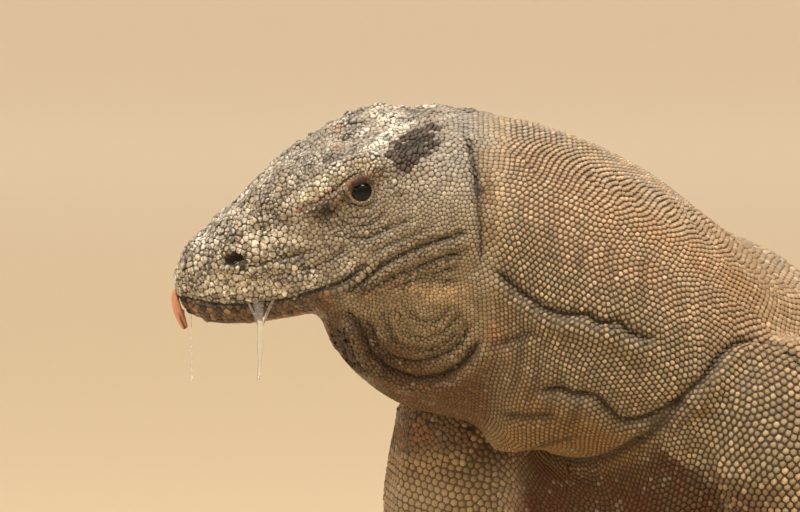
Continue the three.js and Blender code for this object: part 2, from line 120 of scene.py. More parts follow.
def wobble(points, pitch, seed):
    """Soft noise from -1 to 1 with waves about a pitch long: a sum of slanted sine waves."""
    waves = np.random.default_rng(seed)
    total = np.zeros(len(points))
    for _ in range(9):
        direction = unit(waves.normal(size=3)) * math.tau / (pitch * waves.uniform(0.7, 1.5))
        total += np.sin(points @ direction + waves.uniform(0, math.tau))
    return np.clip(total / 4.2, -1, 1)


# ---- The spine, as the solids have it ----

# Station, and the spine's place there.
SPINE = [(0, -1150.7, 97.1, 416.5), (200, -1020.7, -47.9, 461.5), (252, -990.7, -67.9, 428),
         (312, -949.7, -78.9, 385), (385, -911.7, -73.9, 328), (525, -772.7, -41.9, 306),
         (725, -575.7, -11.9, 292), (925, -376.7, 0.1, 283), (1095, -206.7, -5.9, 270),
         (1205, -97.7, -19.9, 236), (1305, -11.7, -39.9, 184), (1425, 89.3, -69.9, 122),
         (1565, 218.3, -107.9, 70), (1725, 374.3, -135.9, 44), (1965, 610.3, -129.9, 31.5),
         (2215, 857.3, -77.9, 20), (2415, 1052.3, -37.9, 10.5), (2525, 1160.3, -29.9, 4.5)]
SPINE_CURVES = [Curve(*[(row[0], row[axis]) for row in SPINE]) for axis in (1, 2, 3)]
HEADING = Curve((0, -48), (180, -48), (252, -30), (312, -8), (385, 12), (525, 11), (725, 6),
                (925, 0), (1095, -6), (1205, -10), (1365, -15), (1565, -12), (1725, -3),
                (1965, 8), (2215, 11), (2415, 7), (2525, 2))
SLOPE = Curve((0, 13), (110, 13), (150, 8), (200, -3), (252, -15), (312, -24), (385, -20),
              (490, -8), (725, -3), (1095, -8), (1205, -20), (1305, -28), (1425, -24),
              (1565, -14), (1725, -4), (1965, -3), (2525, -3))
ROLL = Curve((0, 21), (180, 21), (280, 9), (385, 0), (2525, 0))
SPINE_END = 2520
SPINE_STEP = 4.0                    # between the cross-sections that places are found from
BATCH = 4000                        # points looked at together
NOWHERE = 1e18
EYE_PLACE = (130.3, 37, 49)
EYE_RADIUS = 11

# Each leg's line through its joints: root, elbow or knee, wrist or ankle, and palm.
LEG_LINES = {
    "left_front": [(-897, -173, 360), (-844, -213, 178), (-856, -226, 46), (-897, -242, 14)],
    "right_front": [(-934, 48, 340), (-950, 86, 184), (-977, 84, 46), (-1024, 84, 14)],
    "left_hind": [(-210, -80, 272), (-318, -191, 208), (-230, -228, 52), (-290, -244, 14)],
    "right_hind": [(-194, 67, 272), (-208, 210, 196), (-86, 207, 52), (-141, 237, 14)],
}


def frames_at(stations):
    """Centres and the back, right and up directions of the cross-sections at stations."""
    s = np.asarray(stations, float)
    heading, slope, roll = (np.radians(curve(s)) for curve in (HEADING, SLOPE, ROLL))
    back = np.stack([np.cos(slope) * np.cos(heading), np.cos(slope) * np.sin(heading),
                     np.sin(slope)], -1)
    level = np.stack([-np.sin(heading), np.cos(heading), 0 * heading], -1)
    plumb = np.cross(back, level)
    right = level * np.cos(roll)[..., None] + plumb * np.sin(roll)[..., None]
    up = np.cross(back, right)
    centre = np.stack([curve(s) for curve in SPINE_CURVES], -1)
    centre = centre + back * np.minimum(s, 0)[..., None]
    return centre, back, right, up


HEAD_ORIGIN, HEAD_BACK, HEAD_RIGHT, HEAD_UP = frames_at(0)


def on_head(back, side, up):
    """A place in the straight frame of the head."""
    return HEAD_ORIGIN + back * HEAD_BACK + side * HEAD_RIGHT + up * HEAD_UP


def head_coordinates(points):
    q = points - HEAD_ORIGIN
    return np.stack([q @ HEAD_BACK, q @ HEAD_RIGHT, q @ HEAD_UP], -1)


def body_coordinates(points):
    """Station, side and rise of points, from the cross-section whose plane holds them."""
    stations = np.arange(-12.0, 2540.0, SPINE_STEP)
    centre, back, _, _ = frames_at(stations)
    found = np.zeros(len(points))
    for start in range(0, len(points), BATCH):
        p = points[start:start + BATCH]
        behind = p @ back.T - dot(centre, back)
        away = squared_gaps(p, centre)
        crossing = (behind[:, :-1] >= 0) & (behind[:, 1:] < 0)
        reach = np.where(crossing, away[:, :-1] + away[:, 1:], NOWHERE)
        rows = np.arange(len(p))
        i = reach.argmin(1)
        lost = reach[rows, i] == NOWHERE
        i[lost] = np.minimum(away[lost].argmin(1), len(stations) - 2)
        before, after = behind[rows, i], behind[rows, i + 1]
        gap = np.where(np.abs(before - after) < 1e-9, 1, before - after)
        found[start:start + BATCH] = stations[i] + SPINE_STEP * np.clip(before / gap, 0, 1)
    centre, _, right, up = frames_at(found)
    q = points - centre
    return np.stack([found, dot(q, right), dot(q, up)], -1)


def place(station, side, rise):
    """A point in space from body coordinates."""
    centre, _, right, up = frames_at(station)
    return centre + side * right + rise * up


# ---- Meshes ----

def link(name, data):
    piece = bpy.data.objects.new(name, data)
    bpy.context.collection.objects.link(piece)
    return piece


def face_way(shape, verts, way):
    """Turns part of a shape that faces up, so that it faces a way."""
    turn = Vector((0, 0, 1)).rotation_difference(Vector(way)).to_matrix()
    bmesh.ops.rotate(shape, cent=(0, 0, 0), matrix=turn, verts=verts)


def as_mesh(shape, name):
    """A finished bmesh shape as a mesh."""
    mesh = bpy.data.meshes.new(name)
    shape.to_mesh(mesh)
    shape.free()
    return mesh


def modified(mesh, **steps):
    """A plain mesh with the named modifiers applied in turn, in place of the one given."""
    piece = link(mesh.name, mesh)
    for kind, settings in steps.items():
        step = piece.modifiers.new(kind.lower(), kind)
        for name, value in settings.items():
            setattr(step, name, value)
    graph = bpy.context.evaluated_depsgraph_get()
    result = bpy.data.meshes.new_from_object(piece.evaluated_get(graph))
    bpy.data.objects.remove(piece)
    bpy.data.meshes.remove(mesh)
    return result


def copied(name):
    """A merged copy of a CAD node's shape."""
    shape = bmesh.new()
    shape.from_mesh(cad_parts[name].data)
    bmesh.ops.remove_doubles(shape, verts=shape.verts, dist=MERGE)
    return shape


def joined(meshes, name):
    """Several meshes as one, in place of them."""
    whole = bmesh.new()
    for mesh in meshes:
        whole.from_mesh(mesh)
        bpy.data.meshes.remove(mesh)
    return as_mesh(whole, name)


def rounded_faces(mesh):
    mesh.polygons.foreach_set("use_smooth", np.ones(len(mesh.polygons), bool))


def read(items, name, width, kind=float):
    """A property of each item of a mesh, in rows of a width."""
    values = np.zeros(len(items) * width, kind)
    items.foreach_get(name, values)
    return values.reshape(-1, width)


def positions(mesh):
    """Vertex places in millimetres."""
    return read(mesh.vertices, "co", 3) / MM


def set_positions(mesh, points):
    mesh.vertices.foreach_set("co", (points * MM).ravel())
    mesh.update()


def vertex_normals(mesh):
    return read(mesh.vertex_normals, "vector", 3)


def edge_ends(mesh):
    return read(mesh.edges, "vertices", 2, int)


def neighbour_mean(points, ends):
    """For each vertex, the mean place of the vertices it shares an edge with."""
    count = np.bincount(ends.ravel(), minlength=len(points))
    total = np.stack([
        np.bincount(ends[:, 0], points[ends[:, 1], axis], len(points))
        + np.bincount(ends[:, 1], points[ends[:, 0], axis], len(points)) for axis in range(3)], -1)
    return total / np.maximum(count, 1)[:, None]


def relaxed(points, ends, rounds, weight):
    """Points smoothed without losing their bulk. weight is per vertex, from 0 to 1."""
    for _ in range(rounds):
        for share in (0.5, -0.52):
            points = points + share * weight[:, None] * (neighbour_mean(points, ends) - points)
    return points


def surface_tree(mesh):
    """A search tree over a mesh, in millimetres."""
    points = [Vector(p) for p in positions(mesh)]
    return BVHTree.FromPolygons(points, [tuple(face.vertices) for face in mesh.polygons])


def settle_on(tree, points):
    """The nearest places of the skin, its normals there, and how far off they are."""
    hits = [tree.find_nearest(Vector(p)) for p in points]
    return (np.array([hit[0] for hit in hits]), np.array([hit[1] for hit in hits]),
            np.array([hit[3] for hit in hits]))


def store(mesh, name, values):
    """A number or a colour for each vertex, kept on the mesh for its material."""
    if np.ndim(values) == 2:
        layer = mesh.attributes.new(name, "FLOAT_COLOR", "POINT")
        values = np.c_[values, np.ones(len(values))].ravel()
        layer.data.foreach_set("color", values.astype(np.float32))
    else:
        layer = mesh.attributes.new(name, "FLOAT", "POINT")
        layer.data.foreach_set("value", np.asarray(values, np.float32))


def flesh(nodes, voxel):
    """One closed mesh over several CAD nodes, with the cuts between them closed."""
    parts = []
    for name in nodes:
        part = copied(name)
        part.normal_update()
        for vert in part.verts:
            vert.co += vert.normal * OVERLAP * MM
        parts.append(as_mesh(part, name + "_copy"))
    return modified(joined(parts, "flesh"), REMESH={"mode": "VOXEL", "voxel_size": voxel * MM})


# ---- The skin ----

SKIN_VOXEL = 6.0
LIMB_VOXEL = 5.0
COAT_DEPTH = 1.1                    # how far the skin lies inside the solids
FINE_TO = 352                       # station up to which the skin is subdivided
FINE_LIMBS = 480                    # and for the shoulders
SOLE_HEIGHT = 0.9                   # the skin's least height over the floor
LID_ANGLE = 31.5                    # half the opening of the lids, seen from the eye's centre
EYE_LOOK = unit(np.array([0.09, 0.90, 0.42]))
LIDS_REACH = 16                     # from the eye's centre

NOSTRIL = (44, 26.5, 21)
NOSTRIL_SIZE = (6.5, 3.4)
NOSTRIL_TILT = math.radians(9)

MOUTH = [(3.2, -5, -5.5), (5.4, -11.5, -3.0), (9.8, -16.2, -3.1), (15.8, -19.9, -4.6),
         (24.5, -24.2, -7.0), (35.8, -26.1, -10.0), (45.3, -27.4, -12.2), (57.1, -30.3, -12.8),
         (65.3, -32.7, -12.9), (73.6, -35.2, -12.3), (86, -39.2, -10), (98.3, -43, -7.4),
         (106.1, -45.8, -4.4), (116, -48.1, 2)]
MOUTH_RISE = Curve(*[(station, rise) for station, _, rise in MOUTH])


def along_path(points, step=1.5):
    """A smooth run of points through a few, about a step apart."""
    points = np.asarray(points, float)
    run = np.r_[0, np.cumsum(length(np.diff(points, axis=0)))]
    curves = [Curve(*zip(run, points[:, axis])) for axis in range(3)]
    at = np.linspace(0, run[-1], max(int(run[-1] / step), 2))
    return np.stack([curve(at) for curve in curves], -1)


class Path:
    """A line on the skin, from body coordinates of the left side, mirrored for the right."""

    def __init__(self, knots, side, tree):
        knots = [(s, across * -side, rise) for s, across, rise in knots]
        self.points = along_path(settle_on(tree, [place(*knot) for knot in knots])[0])
        self.normals = settle_on(tree, self.points)[1]
        self.tangents = unit(np.gradient(self.points, axis=0))
        self.side = side
        gaps = length(np.diff(self.points, axis=0))
        self.run = np.r_[0, np.cumsum(gaps)]
        self.length = self.run[-1]

    def measure(self, points, reach):
        """Distance from the line, signed across it, and the distance run along it."""
        near = close_to(self.points, points, reach)
        if not len(near):
            return near, None, None, None
        p = points[near]
        i = squared_gaps(p, self.points).argmin(1)
        q = p - self.points[i]
        across = np.cross(self.normals[i], self.tangents[i]) * self.side
        distance = length(q)
        keep = distance < reach
        # Square to the line's ends, nothing is left over beyond them.
        over = np.abs(dot(q, self.tangents[i]))
        end = np.clip(np.minimum(self.run[i], self.length - self.run[i]) - over, 0, None)
        return near[keep], dot(q, across)[keep], distance[keep], end[keep]


class Sculpture:
    """The skin's vertices while folds are pressed into them."""

    def __init__(self, mesh):
        self.mesh = mesh
        self.tree = surface_tree(mesh)
        self.points = positions(mesh)
        self.normals = vertex_normals(mesh)
        self.body = body_coordinates(self.points)
        self.head = head_coordinates(self.points)
        self.shift = np.zeros_like(self.points)
        # How much painted shade each vertex gets, most where it lies deep in a fold.
        self.shade = np.zeros(len(self.points))

    def fold(self, knots, depth, width, roll=0.0, roll_width=6.0, ease=10.0, other=0.0, lean=0.0,
             stain_and_shade=1.0):
        """A groove along a line, with a roll of skin on its upper side, and on the other."""
        for side in SIDES.values():
            path = Path(knots, side, self.tree)
            near, across, distance, end = path.measure(self.points, 4 * (width + roll_width))
            if not len(near):
                continue
            fade = smooth(0, ease, end)
            lift = -depth * bell(distance, width)
            lift += roll * bell(across - roll_width, roll_width * 0.75) * (distance < 4 * roll_width)
            lift += other * bell(across + roll_width, roll_width * 0.75)
            self.shift[near] += self.normals[near] * (lift * fade)[:, None]
            if lean:
                i = ((self.points[near][:, None, :] - path.points[None]) ** 2).sum(2).argmin(1)
                crosswise = np.cross(path.normals[i], path.tangents[i]) * side
                push = -lean * bell(across - roll_width * 0.6, roll_width * 0.6) * fade
                self.shift[near] += crosswise * push[:, None]
            # Painted shade along the groove, for the colour of the skin and the scales over it; the
            # last argument sets how strong it is.
            painted_shade = stain_and_shade * min(1, 0.3 + depth / 3)
            np.maximum.at(self.shade, near, bell(distance, width) * fade * painted_shade)

    def swell(self, centre, size, height, sides=(-1, 1), on_the_head=True):
        """A low mound round a place, size along, across and up in body coordinates."""
        where = self.head if on_the_head else self.body
        for side in sides:
            q = (where - np.array([centre[0], centre[1] * side, centre[2]])) / size
            self.shift += self.normals * (height * np.exp(-dot(q, q)))[:, None]

    def settle(self):
        """Moves the skin by what was pressed in so far, and looks at it afresh."""
        self.points = self.points + self.shift
        set_positions(self.mesh, self.points)
        self.normals = vertex_normals(self.mesh)
        self.tree = surface_tree(self.mesh)
        self.shift[:] = 0


def subdivided(mesh, wanted):
    """A mesh whose faces are cut in four where wanted says so of their vertices."""
    shape = bmesh.new()
    shape.from_mesh(mesh)
    shape.verts.ensure_lookup_table()
    edges = {edge for face in shape.faces if all(wanted[v.index] for v in face.verts)
             for edge in face.edges}
    bmesh.ops.subdivide_edges(shape, edges=list(edges), cuts=1, use_grid_fill=True)
    shape.to_mesh(mesh)
    shape.free()
    mesh.update()


def refine(mesh, wanted, rounds):
    """Cuts part of the skin finer, evens it out and gives its new places."""
    subdivided(mesh, wanted)
    points = positions(mesh)
    points = relaxed(points, edge_ends(mesh), rounds, np.ones(len(points)))
    set_positions(mesh, points)
    return points


def eye_centre(side):
    return on_head(EYE_PLACE[0], EYE_PLACE[1] * side, EYE_PLACE[2])


def eye_axis(side):
    """The way an eye looks."""
    back, across, up = EYE_LOOK
    return unit(back * HEAD_BACK + across * side * HEAD_RIGHT + up * HEAD_UP)


def round_eye(points, side):
    """Points as seen from an eye's centre: offset, distance, and angle off the way it looks."""
    q = points - eye_centre(side)
    distance = length(q)
    cosine = q @ eye_axis(side) / np.maximum(distance, 1e-6)
    return q, distance, np.degrees(np.arccos(np.clip(cosine, -1, 1)))


def round_nostril(points, side):
    """Points by a nostril's own axes: along, up and out, and how many of its sizes away."""
    q = head_coordinates(points) - np.array([NOSTRIL[0], NOSTRIL[1] * side, NOSTRIL[2]])
    cos, sin = math.cos(NOSTRIL_TILT), math.sin(NOSTRIL_TILT)
    along = q[:, 0] * cos + q[:, 2] * sin
    up = -q[:, 0] * sin + q[:, 2] * cos
    ring = np.sqrt((along / NOSTRIL_SIZE[0]) ** 2 + (up / NOSTRIL_SIZE[1]) ** 2)
    return along, up, q[:, 1] * side, ring


def carve_eye(work, side):
    """Opens the skin over the eyeball and raises the lids' rims round it."""
    q, distance, angle = round_eye(work.points, side)
    near = (distance < 26) & (angle < 88)
    inside = EYE_RADIUS - 3.0
    rim = EYE_RADIUS + 0.9
    wanted = inside + (rim - inside) * smooth(LID_ANGLE - 3, LID_ANGLE + 5, angle)
    share = smooth(LID_ANGLE + 27, LID_ANGLE + 9, angle)
    wanted = np.maximum(wanted, np.where(angle > LID_ANGLE + 5, EYE_RADIUS + 0.6, 0))
    target = distance + (wanted - distance) * share
    work.points[near] = eye_centre(side) + unit(q[near]) * target[near, None]
    # A fine furrow runs round outside the lids, with painted shade along it.
    furrow = bell(angle - (LID_ANGLE + 21), 4.5) * smooth(17, 14, distance)
    work.points[near] -= 0.8 * work.normals[near] * furrow[near, None]
    np.maximum.at(work.shade, np.where(near)[0], 0.6 * furrow[near])


def carve_nostril(work, side):
    _, _, out, ring = round_nostril(work.points, side)
    near = (ring < 3.5) & (np.abs(out) < 14)
    lift = -7.0 * smooth(1.12, 0.5, ring) + 1.7 * bell(ring - 1.55, 0.5)
    inward = -work.normals * 0.8 + (HEAD_BACK * 0.5 - HEAD_UP * 0.3)
    deep = np.minimum(lift, 0)[:, None] * unit(-inward)
    high = np.maximum(lift, 0)[:, None] * work.normals
    work.shift[near] += (deep + high)[near]
    # Painted shade inside the nostril.
    np.maximum.at(work.shade, np.where(near)[0], smooth(1.15, 0.7, ring[near]) * 1.0)


# Each row is a fold: its depth (less than nothing for a ridge) and width, the height and width
# of the roll of skin beside it, the length over which it fades at its ends, the height of the
# roll on its other side, how far it leans, and its line.
HEAD_FOLDS = [
    # Mouth, with a swollen upper lip and a thinner lower one.
    ((3, 1.5, 1.2, 4.2, 4, 0.6), MOUTH),
    # The hollow in front of the eye, and the broad ridge of the brow.
    ((2.2, 5, 0, 6, 8), [
        (92, -38, 36), (102, -41.5, 39), (110, -43.5, 42)]),
    ((-2.4, 5, 0, 6, 9), [
        (86, -34, 47), (100.8, -36.9, 55), (110.1, -38.8, 59.2), (119.7, -39.9, 63),
        (128.5, -40.6, 65), (137, -41.2, 64.5), (142, -42.3, 61.8)]),
    # A second crest runs from the brow to the middle of the crown.
    ((-2.4, 4.2, 0, 6, 8), [
        (134, -34, 66), (137, -27, 67), (140.5, -16, 66), (144, -6, 64.5), (149, 2, 64)]),
    ((1.3, 6), [
        (147, -38, 62), (152, -32, 63.5), (158, -23, 64), (164, -12, 63.5)]),
    ((1.5, 4.5, 0, 6, 12), [
        (90, -25, 57), (106, -28, 65), (120, -30, 68), (131, -31, 68)]),
    # Shallow grooves behind the nostril.
    ((1.7, 1.8, 0.9, 4, 9), [
        (38, -27.8, 10.8), (57.8, -31.3, 14.6), (71.3, -34.4, 14.2), (83, -37.4, 14.4),
        (95.5, -40.2, 17)]),
    ((1.5, 1.8, 0.8, 4, 9), [
        (56, -32.5, 3.4), (76, -37, 3.6), (96, -41.6, 7.5), (112, -46, 14)]),
    ((1, 2.6), [
        (50, -24, 36), (66, -28, 34), (84, -33, 36)]),
    # Wrinkles that hang in arcs below the eye.
    ((1.5, 1.4, 0.8, 3.4, 8), [
        (104.5, -41, 42), (107, -42, 33), (112.6, -43.4, 27), (121.8, -45.4, 25),
        (131, -47.7, 28.6), (137.4, -49.5, 36.4)]),
    ((1.5, 1.5, 0.8, 3.4, 8), [
        (97.2, -39.3, 41), (100.8, -40.7, 31.6), (107, -42.3, 23), (116.6, -45.4, 18.2),
        (129.2, -48.4, 20), (140.4, -51.8, 26.8)]),
    ((0.9, 1.2, 0.4, 2.6, 6), [
        (112, -43.5, 35), (117, -44.6, 31), (124, -46, 30), (131, -47.2, 33)]),
    # Cheek creases that run back from the corner of the mouth to the ear.
    ((3.3, 1.7, 2.2, 4.4, 9, 0.6), [
        (99.4, -42.8, -16), (111.3, -47.4, -8.8), (124.3, -51.4, -1.3), (138.6, -55.4, 5),
        (152.9, -60.4, 10.2), (167.3, -64.3, 14.1), (181.8, -66, 16.5), (190, -65, 18)]),
    ((2.2, 1.6, 1.3, 3.8, 9), [
        (102.5, -43.4, -20.1), (116.2, -48.6, -13.7), (130.4, -54.3, -8.2), (147.2, -59.6, -2.8),
        (165.9, -65.4, 3.1), (182.7, -67.2, 5.9), (190, -68, 6.4)]),
    ((1.6, 1.4, 0.9, 3.2, 9), [
        (120, -52, -17), (134, -56, -13.5), (150, -61, -9), (168, -66, -5), (184, -68, -4)]),
    ((1.4, 1.7, 0.8, 4), [
        (106, -47, 14), (122, -51, 19), (140, -55, 24), (156, -60, 30)]),
    ((1.2, 1.4, 0.7, 3.2), [
        (116, -49, 6), (132, -53.5, 12), (150, -59, 18), (168, -63.5, 23)]),
    ((1.4, 1.4, 0.8, 3.2, 9), [
        (140, -58, -14), (154, -62, -12), (170, -65.5, -12), (184, -67, -14)]),
    # The ear's crease, from the nape down behind the jaw.
    ((2.7, 1.4, 1.7, 4.5, 18, 1.3), [
        (180.5, -8, 62.5), (184.4, -21.1, 60.1), (188.3, -33.5, 53.9), (191.3, -46.6, 46.1),
        (192.8, -54.3, 36.3), (193.9, -61.1, 26.1), (194.9, -65.5, 14.9), (195.9, -68.4, 3.1),
        (197, -70, -8)]),
]


def sculpt_head(work):
    """Folds, lips, brows and grooves of the head, as (station, side, rise) lines."""
    for sizes, line in HEAD_FOLDS:
        work.fold(line, *sizes)
    # The dip between the brows, the muzzle over the nostrils, the jaw muscle and the ear.
    work.swell((100, 0, 66), (26, 7, 12), -1.8, sides=(1,))
    work.swell((64, 12, 50), (16, 8, 10), 1.2)
    work.swell((40, 16, 34), (14, 10, 9), 1.8)
    work.swell((168, 62, 30), (24, 16, 24), 3.0)
    work.swell((191, 50, 40), (2.2, 6, 5.0), -2.0, on_the_head=False)
    # A crust of low knobs over the crown and the top of the snout.
    s, side, rise = work.body.T
    crown = smooth(60, 34, np.degrees(np.arctan2(np.abs(side), rise)))
    crown *= smooth(195, 165, s) * (work.points[:, 2] > 330)
    knobs = 0.9 * wobble(work.points, 11, 21) + 0.5 * wobble(work.points, 5.5, 22)
    work.shift += work.normals * (1.05 * knobs * crown)[:, None]


def raise_brows(work):
    """The sharp lower edge of each brow, hung out over the eye."""
    work.fold([(84, -34, 40.5), (93, -37, 43.5), (101.1, -39.3, 46.8), (109.4, -40.9, 50.4),
               (117, -42.3, 54.0), (123, -43.2, 56.1), (130, -43.8, 56.9), (137, -44.4, 56.6),
               (143, -45.5, 54.6)], 2.2, 1.2, roll=4.2, roll_width=3.4, ease=9)


THROAT_FOLDS = [
    ((3.6, 2.2, 4.2, 6.5, 12, 0.4), [
        (94, -41, -24), (99.6, -41.7, -32), (103.1, -41.9, -42.6), (105.2, -38.2, -58.5),
        (113.7, -36.8, -73.9), (131.8, -39.6, -82.2), (160, -51, -77.6), (185, -60.2, -65.4),
        (197, -65, -52)]),
    ((2.2, 1.6, 1.5, 4.2), [
        (104, -44.5, -30), (109.2, -43.8, -42.2), (110, -41.5, -53.6), (117.3, -40.4, -65),
        (133.8, -44.7, -69.5), (157.6, -55.4, -63.4), (177.4, -61.1, -53.8), (190, -65, -40)]),
]


def sculpt_throat(work):
    """The loops of loose skin under the jaw."""
    for sizes, line in THROAT_FOLDS:
        work.fold(line, *sizes)
    loops = [[(116, -47, -28), (120.2, -47.3, -38.2), (120, -46.2, -49.5), (129.1, -46.9, -58.1),
              (144.5, -52.3, -60), (163.1, -58.4, -54.8), (178.6, -62.9, -43.9)],
             [(124, -49.5, -27), (129.4, -50.9, -34.8), (131.1, -50.2, -44.9), (140.2, -52.5, -51.1),
              (155.1, -57.1, -50.2), (169.1, -61.6, -42.2), (180, -65, -32)],
             [(133, -53, -26), (137.5, -54, -33), (143, -55, -39.5), (153, -58.5, -41),
              (164, -62, -35), (173, -65, -27)]]
    for knots in loops:
        work.fold(knots, 1.3, 1.4, roll=0.9, roll_width=3.2, ease=9)
    # Upright pleats at the front of the throat.
    for knots in ([(88.6, -36.8, -33.6), (86.3, -30.6, -47.8), (88.1, -24, -62.4)],
                  [(95.3, -40.2, -32.8), (94.6, -36.4, -47.9), (96.4, -32.6, -65.1),
                   (103.4, -30.1, -80.8)],
                  [(91.5, -38, -33), (90, -33.5, -48), (91.5, -28, -64), (97, -22, -80)]):
        work.fold(knots, 2.6, 1.8, roll=1.6, roll_width=3.4, ease=8)
    # The pouch, and the notch where it begins behind the jaw's end.
    work.swell((150, 48, -96), (40, 26, 24), 2.5, on_the_head=False)
    work.swell((78, 20, -33), (8, 26, 10), -5.0, on_the_head=False)
    work.swell((93, 26, -58), (11, 18, 18), 2.5, on_the_head=False)


NECK_FOLDS = [
    ((4.6, 2.7, 3.6, 7, 14, 0, 1.8), [
        (202, -69, -3), (213.3, -70.9, -12), (228.8, -73.9, -14), (239.9, -76.7, -12.5),
        (251.5, -79.9, -7.7), (258.3, -81.7, -3.4), (263.1, -83, -5.2), (268, -84.4, -3.6),
        (272, -85, 0.2), (276.7, -86.8, -3), (284.5, -89, -2.4), (292, -90, 2)]),
    ((2.2, 2.6, 1.6, 6, 14), [
        (204, -62, -62), (212, -65, -55), (222.3, -68.5, -45.2), (232.9, -73.2, -31.8),
        (240, -76, -24)]),
    # The gular fold: a pouch of skin whose rear edge hangs over the chest.
    ((4, 3, 3.4, 8, 12, 0, 1.5), [
        (248, -64, -66), (254, -69, -57), (260.8, -72, -52.5), (268, -73.5, -51.5),
        (277, -75.9, -47.1), (286, -74.9, -50.3), (297, -73.4, -53.5), (303.9, -78.7, -45.5),
        (309.5, -88.8, -31.6), (313, -93.5, -19.8), (316.7, -97.9, -3.9), (319, -98.7, 7.5),
        (325.5, -96.7, 19), (333.3, -96.6, 26.9), (340, -103, 31)]),
    ((5, 4, -1, 8, 0.5), [
        (313, 0, -80), (313, -11, -80), (313, -38, -73.5), (311, -65, -59.4),
        (312.4, -80.8, -44.3), (313, -92.6, -25)]),
    ((1.8, 3, 1.4, 6, 14), [
        (290, -60, -72), (282, -50, -84), (276, -36, -95), (272, -18, -104)]),
    ((2, 2.8, 1.5, 6, 16), [
        (226, -44, -98), (244, -56, -84), (258, -62, -74), (272, -66, -66)]),
    # The shoulder blade's edge and the armpit.
    ((4, 3, 2, 8), [
        (333, -96.6, 26.9), (338, -103, 32), (343.1, -113.6, 32.5), (347, -121, 28.4),
        (353, -124, 20)]),
    ((1.8, 3.4, 1.2, 7, 14), [
        (352, -116, 34), (366, -116, 38), (384, -116, 34), (404, -118, 24)]),
]


def sculpt_neck(work):
    """The folds of the neck, the gular fold and the shoulder's edge."""
    for sizes, line in NECK_FOLDS:
        work.fold(line, *sizes)
    # Slight creases where the neck bends.
    for step in range(5):
        s = 214 + step * 15
        work.fold([(s, -58, 46), (s + 4, -70, 26), (s + 9, -76, 6)], 0.7, 3.0, roll=0.5,
                  roll_width=6, ease=16)
    for step in range(4):
        s = 228 + step * 14
        work.fold([(s, -72, -36), (s + 5, -66, -58), (s + 8, -54, -76)], 0.8, 2.6, roll=0.6,
                  roll_width=5, ease=12)


def sculpt_trunk(work):
    """Loose skin on the flanks, behind the limbs and at the root of the tail."""
    for step in range(9):
        s = 455 + step * 52 + 15 * math.sin(step * 3.7)
        sway = 11 * math.sin(step * 2.1)
        top, foot = 30 + 16 * math.sin(step * 1.3), -62 + 18 * math.sin(step * 2.9)
        work.fold([(s, -118, top), (s + sway, -135, 0), (s + 10, -128, -34), (s + sway, -104, foot)],
                  0.9, 6.0, roll=0.8, roll_width=13, ease=34, stain_and_shade=0.35)
    for step in range(6):
        s = 475 + step * 88
        tilt = 13 * math.sin(step * 2.3)
        work.fold([(s, -132, 44 - tilt), (s + 55, -142, 40 + tilt), (s + 104, -140, 38)],
                  0.7, 7, roll=0.8, roll_width=15, ease=40, stain_and_shade=0.2)
        work.fold([(s + 30, -130, -60 + tilt), (s + 84, -138, -56 - tilt), (s + 130, -134, -54)],
                  0.8, 7, roll=0.9, roll_width=15, ease=40, stain_and_shade=0.2)
    for step in range(5):
        s = 1190 + step * 34
        work.fold([(s, -60, 44), (s + 6, -78, 6), (s + 2, -62, -44)], 0.9, 5.0, roll=0.7,
                  roll_width=10, ease=26, stain_and_shade=0.4)


def build_skin():
    """The whole skin, closed, sculpted, and lying inside the solids by the coat's depth."""
    mesh = flesh(BODY_NODES + EYE_NODES + sum(LEG_NODES.values(), []), SKIN_VOXEL)
    mesh.name = "skin"
    points = positions(mesh)
    body = body_coordinates(points)
    girth = np.hypot(body[:, 1], body[:, 2])
    on_limb = (girth > 215) | ((points[:, 2] < 180) & (body[:, 0] < 1200) & (girth > 150))
    weight = np.where(on_limb, 0.75, 1.0)
    weight *= np.where(on_limb & (points[:, 2] < 60), 0.25, 1)
    weight *= 1 - 0.9 * smooth(2150, 2420, body[:, 0])
    weight *= 0.35 + 0.65 * smooth(40, 215, body[:, 0])
    points = relaxed(points, edge_ends(mesh), 14, weight)
    set_positions(mesh, points)

    head_end = np.where(np.abs(body[:, 1]) > 85, FINE_LIMBS, FINE_TO)
    fine = (body[:, 0] < head_end) & ~on_limb & (points[:, 2] > 235)
    points = refine(mesh, fine, 2)
    head = head_coordinates(points)
    rim = np.zeros(len(points), bool)
    for side in SIDES.values():
        rim |= length(points - eye_centre(side)) < 21
        along, up, out, _ = round_nostril(points, side)
        rim |= (np.hypot(along, up) < 12) & (np.abs(out) < 12)
    lips = (np.abs(head[:, 2] + 6) < 8) & (head[:, 0] < 112)
    refine(mesh, rim | lips, 1)

    work = Sculpture(mesh)
    work.shift -= work.normals * COAT_DEPTH
    sculpt_head(work)
    sculpt_throat(work)
    work.settle()
    sculpt_neck(work)
    sculpt_trunk(work)
    for side in SIDES.values():
        carve_nostril(work, side)
    work.settle()
    for side in SIDES.values():
        carve_eye(work, side)
    work.settle()
    raise_brows(work)
    # The soles stay flat on the floor, the rest clear of it.
    work.points[:, 2] = np.maximum(work.points[:, 2], SOLE_HEIGHT)
    work.settle()
    return work


# ---- Where the scales sit ----

def body_pitch(s, side, rise):
    """Distance between neighbouring scales by place on the body."""
    turn = np.degrees(np.abs(np.arctan2(side, rise)))
    low = smooth(98, 116, turn)
    head = 4.3 - 0.8 * smooth(44, 20, turn)
    head = blend(head, 3.05, smooth(60, 98, s))
    head = blend(head, 2.55, smooth(104, 130, s) * smooth(44, 58, turn))
    head = blend(head, 2.65, low * smooth(70, 96, s))
    head = blend(head, 3.5, smooth(138, 160, s) * smooth(62, 45, turn))
    neck = 3.70 + 0.30 * smooth(70, 30, turn) - 0.45 * low
    pitch = blend(head, neck, smooth(180, 212, s))
    pitch = blend(pitch, 5.0 - 0.4 * low, smooth(312, 352, s))
    pitch = blend(pitch, 6.9 + 0.5 * low, smooth(430, 640, s))
    return pitch - 2.2 * smooth(1900, 2480, s)


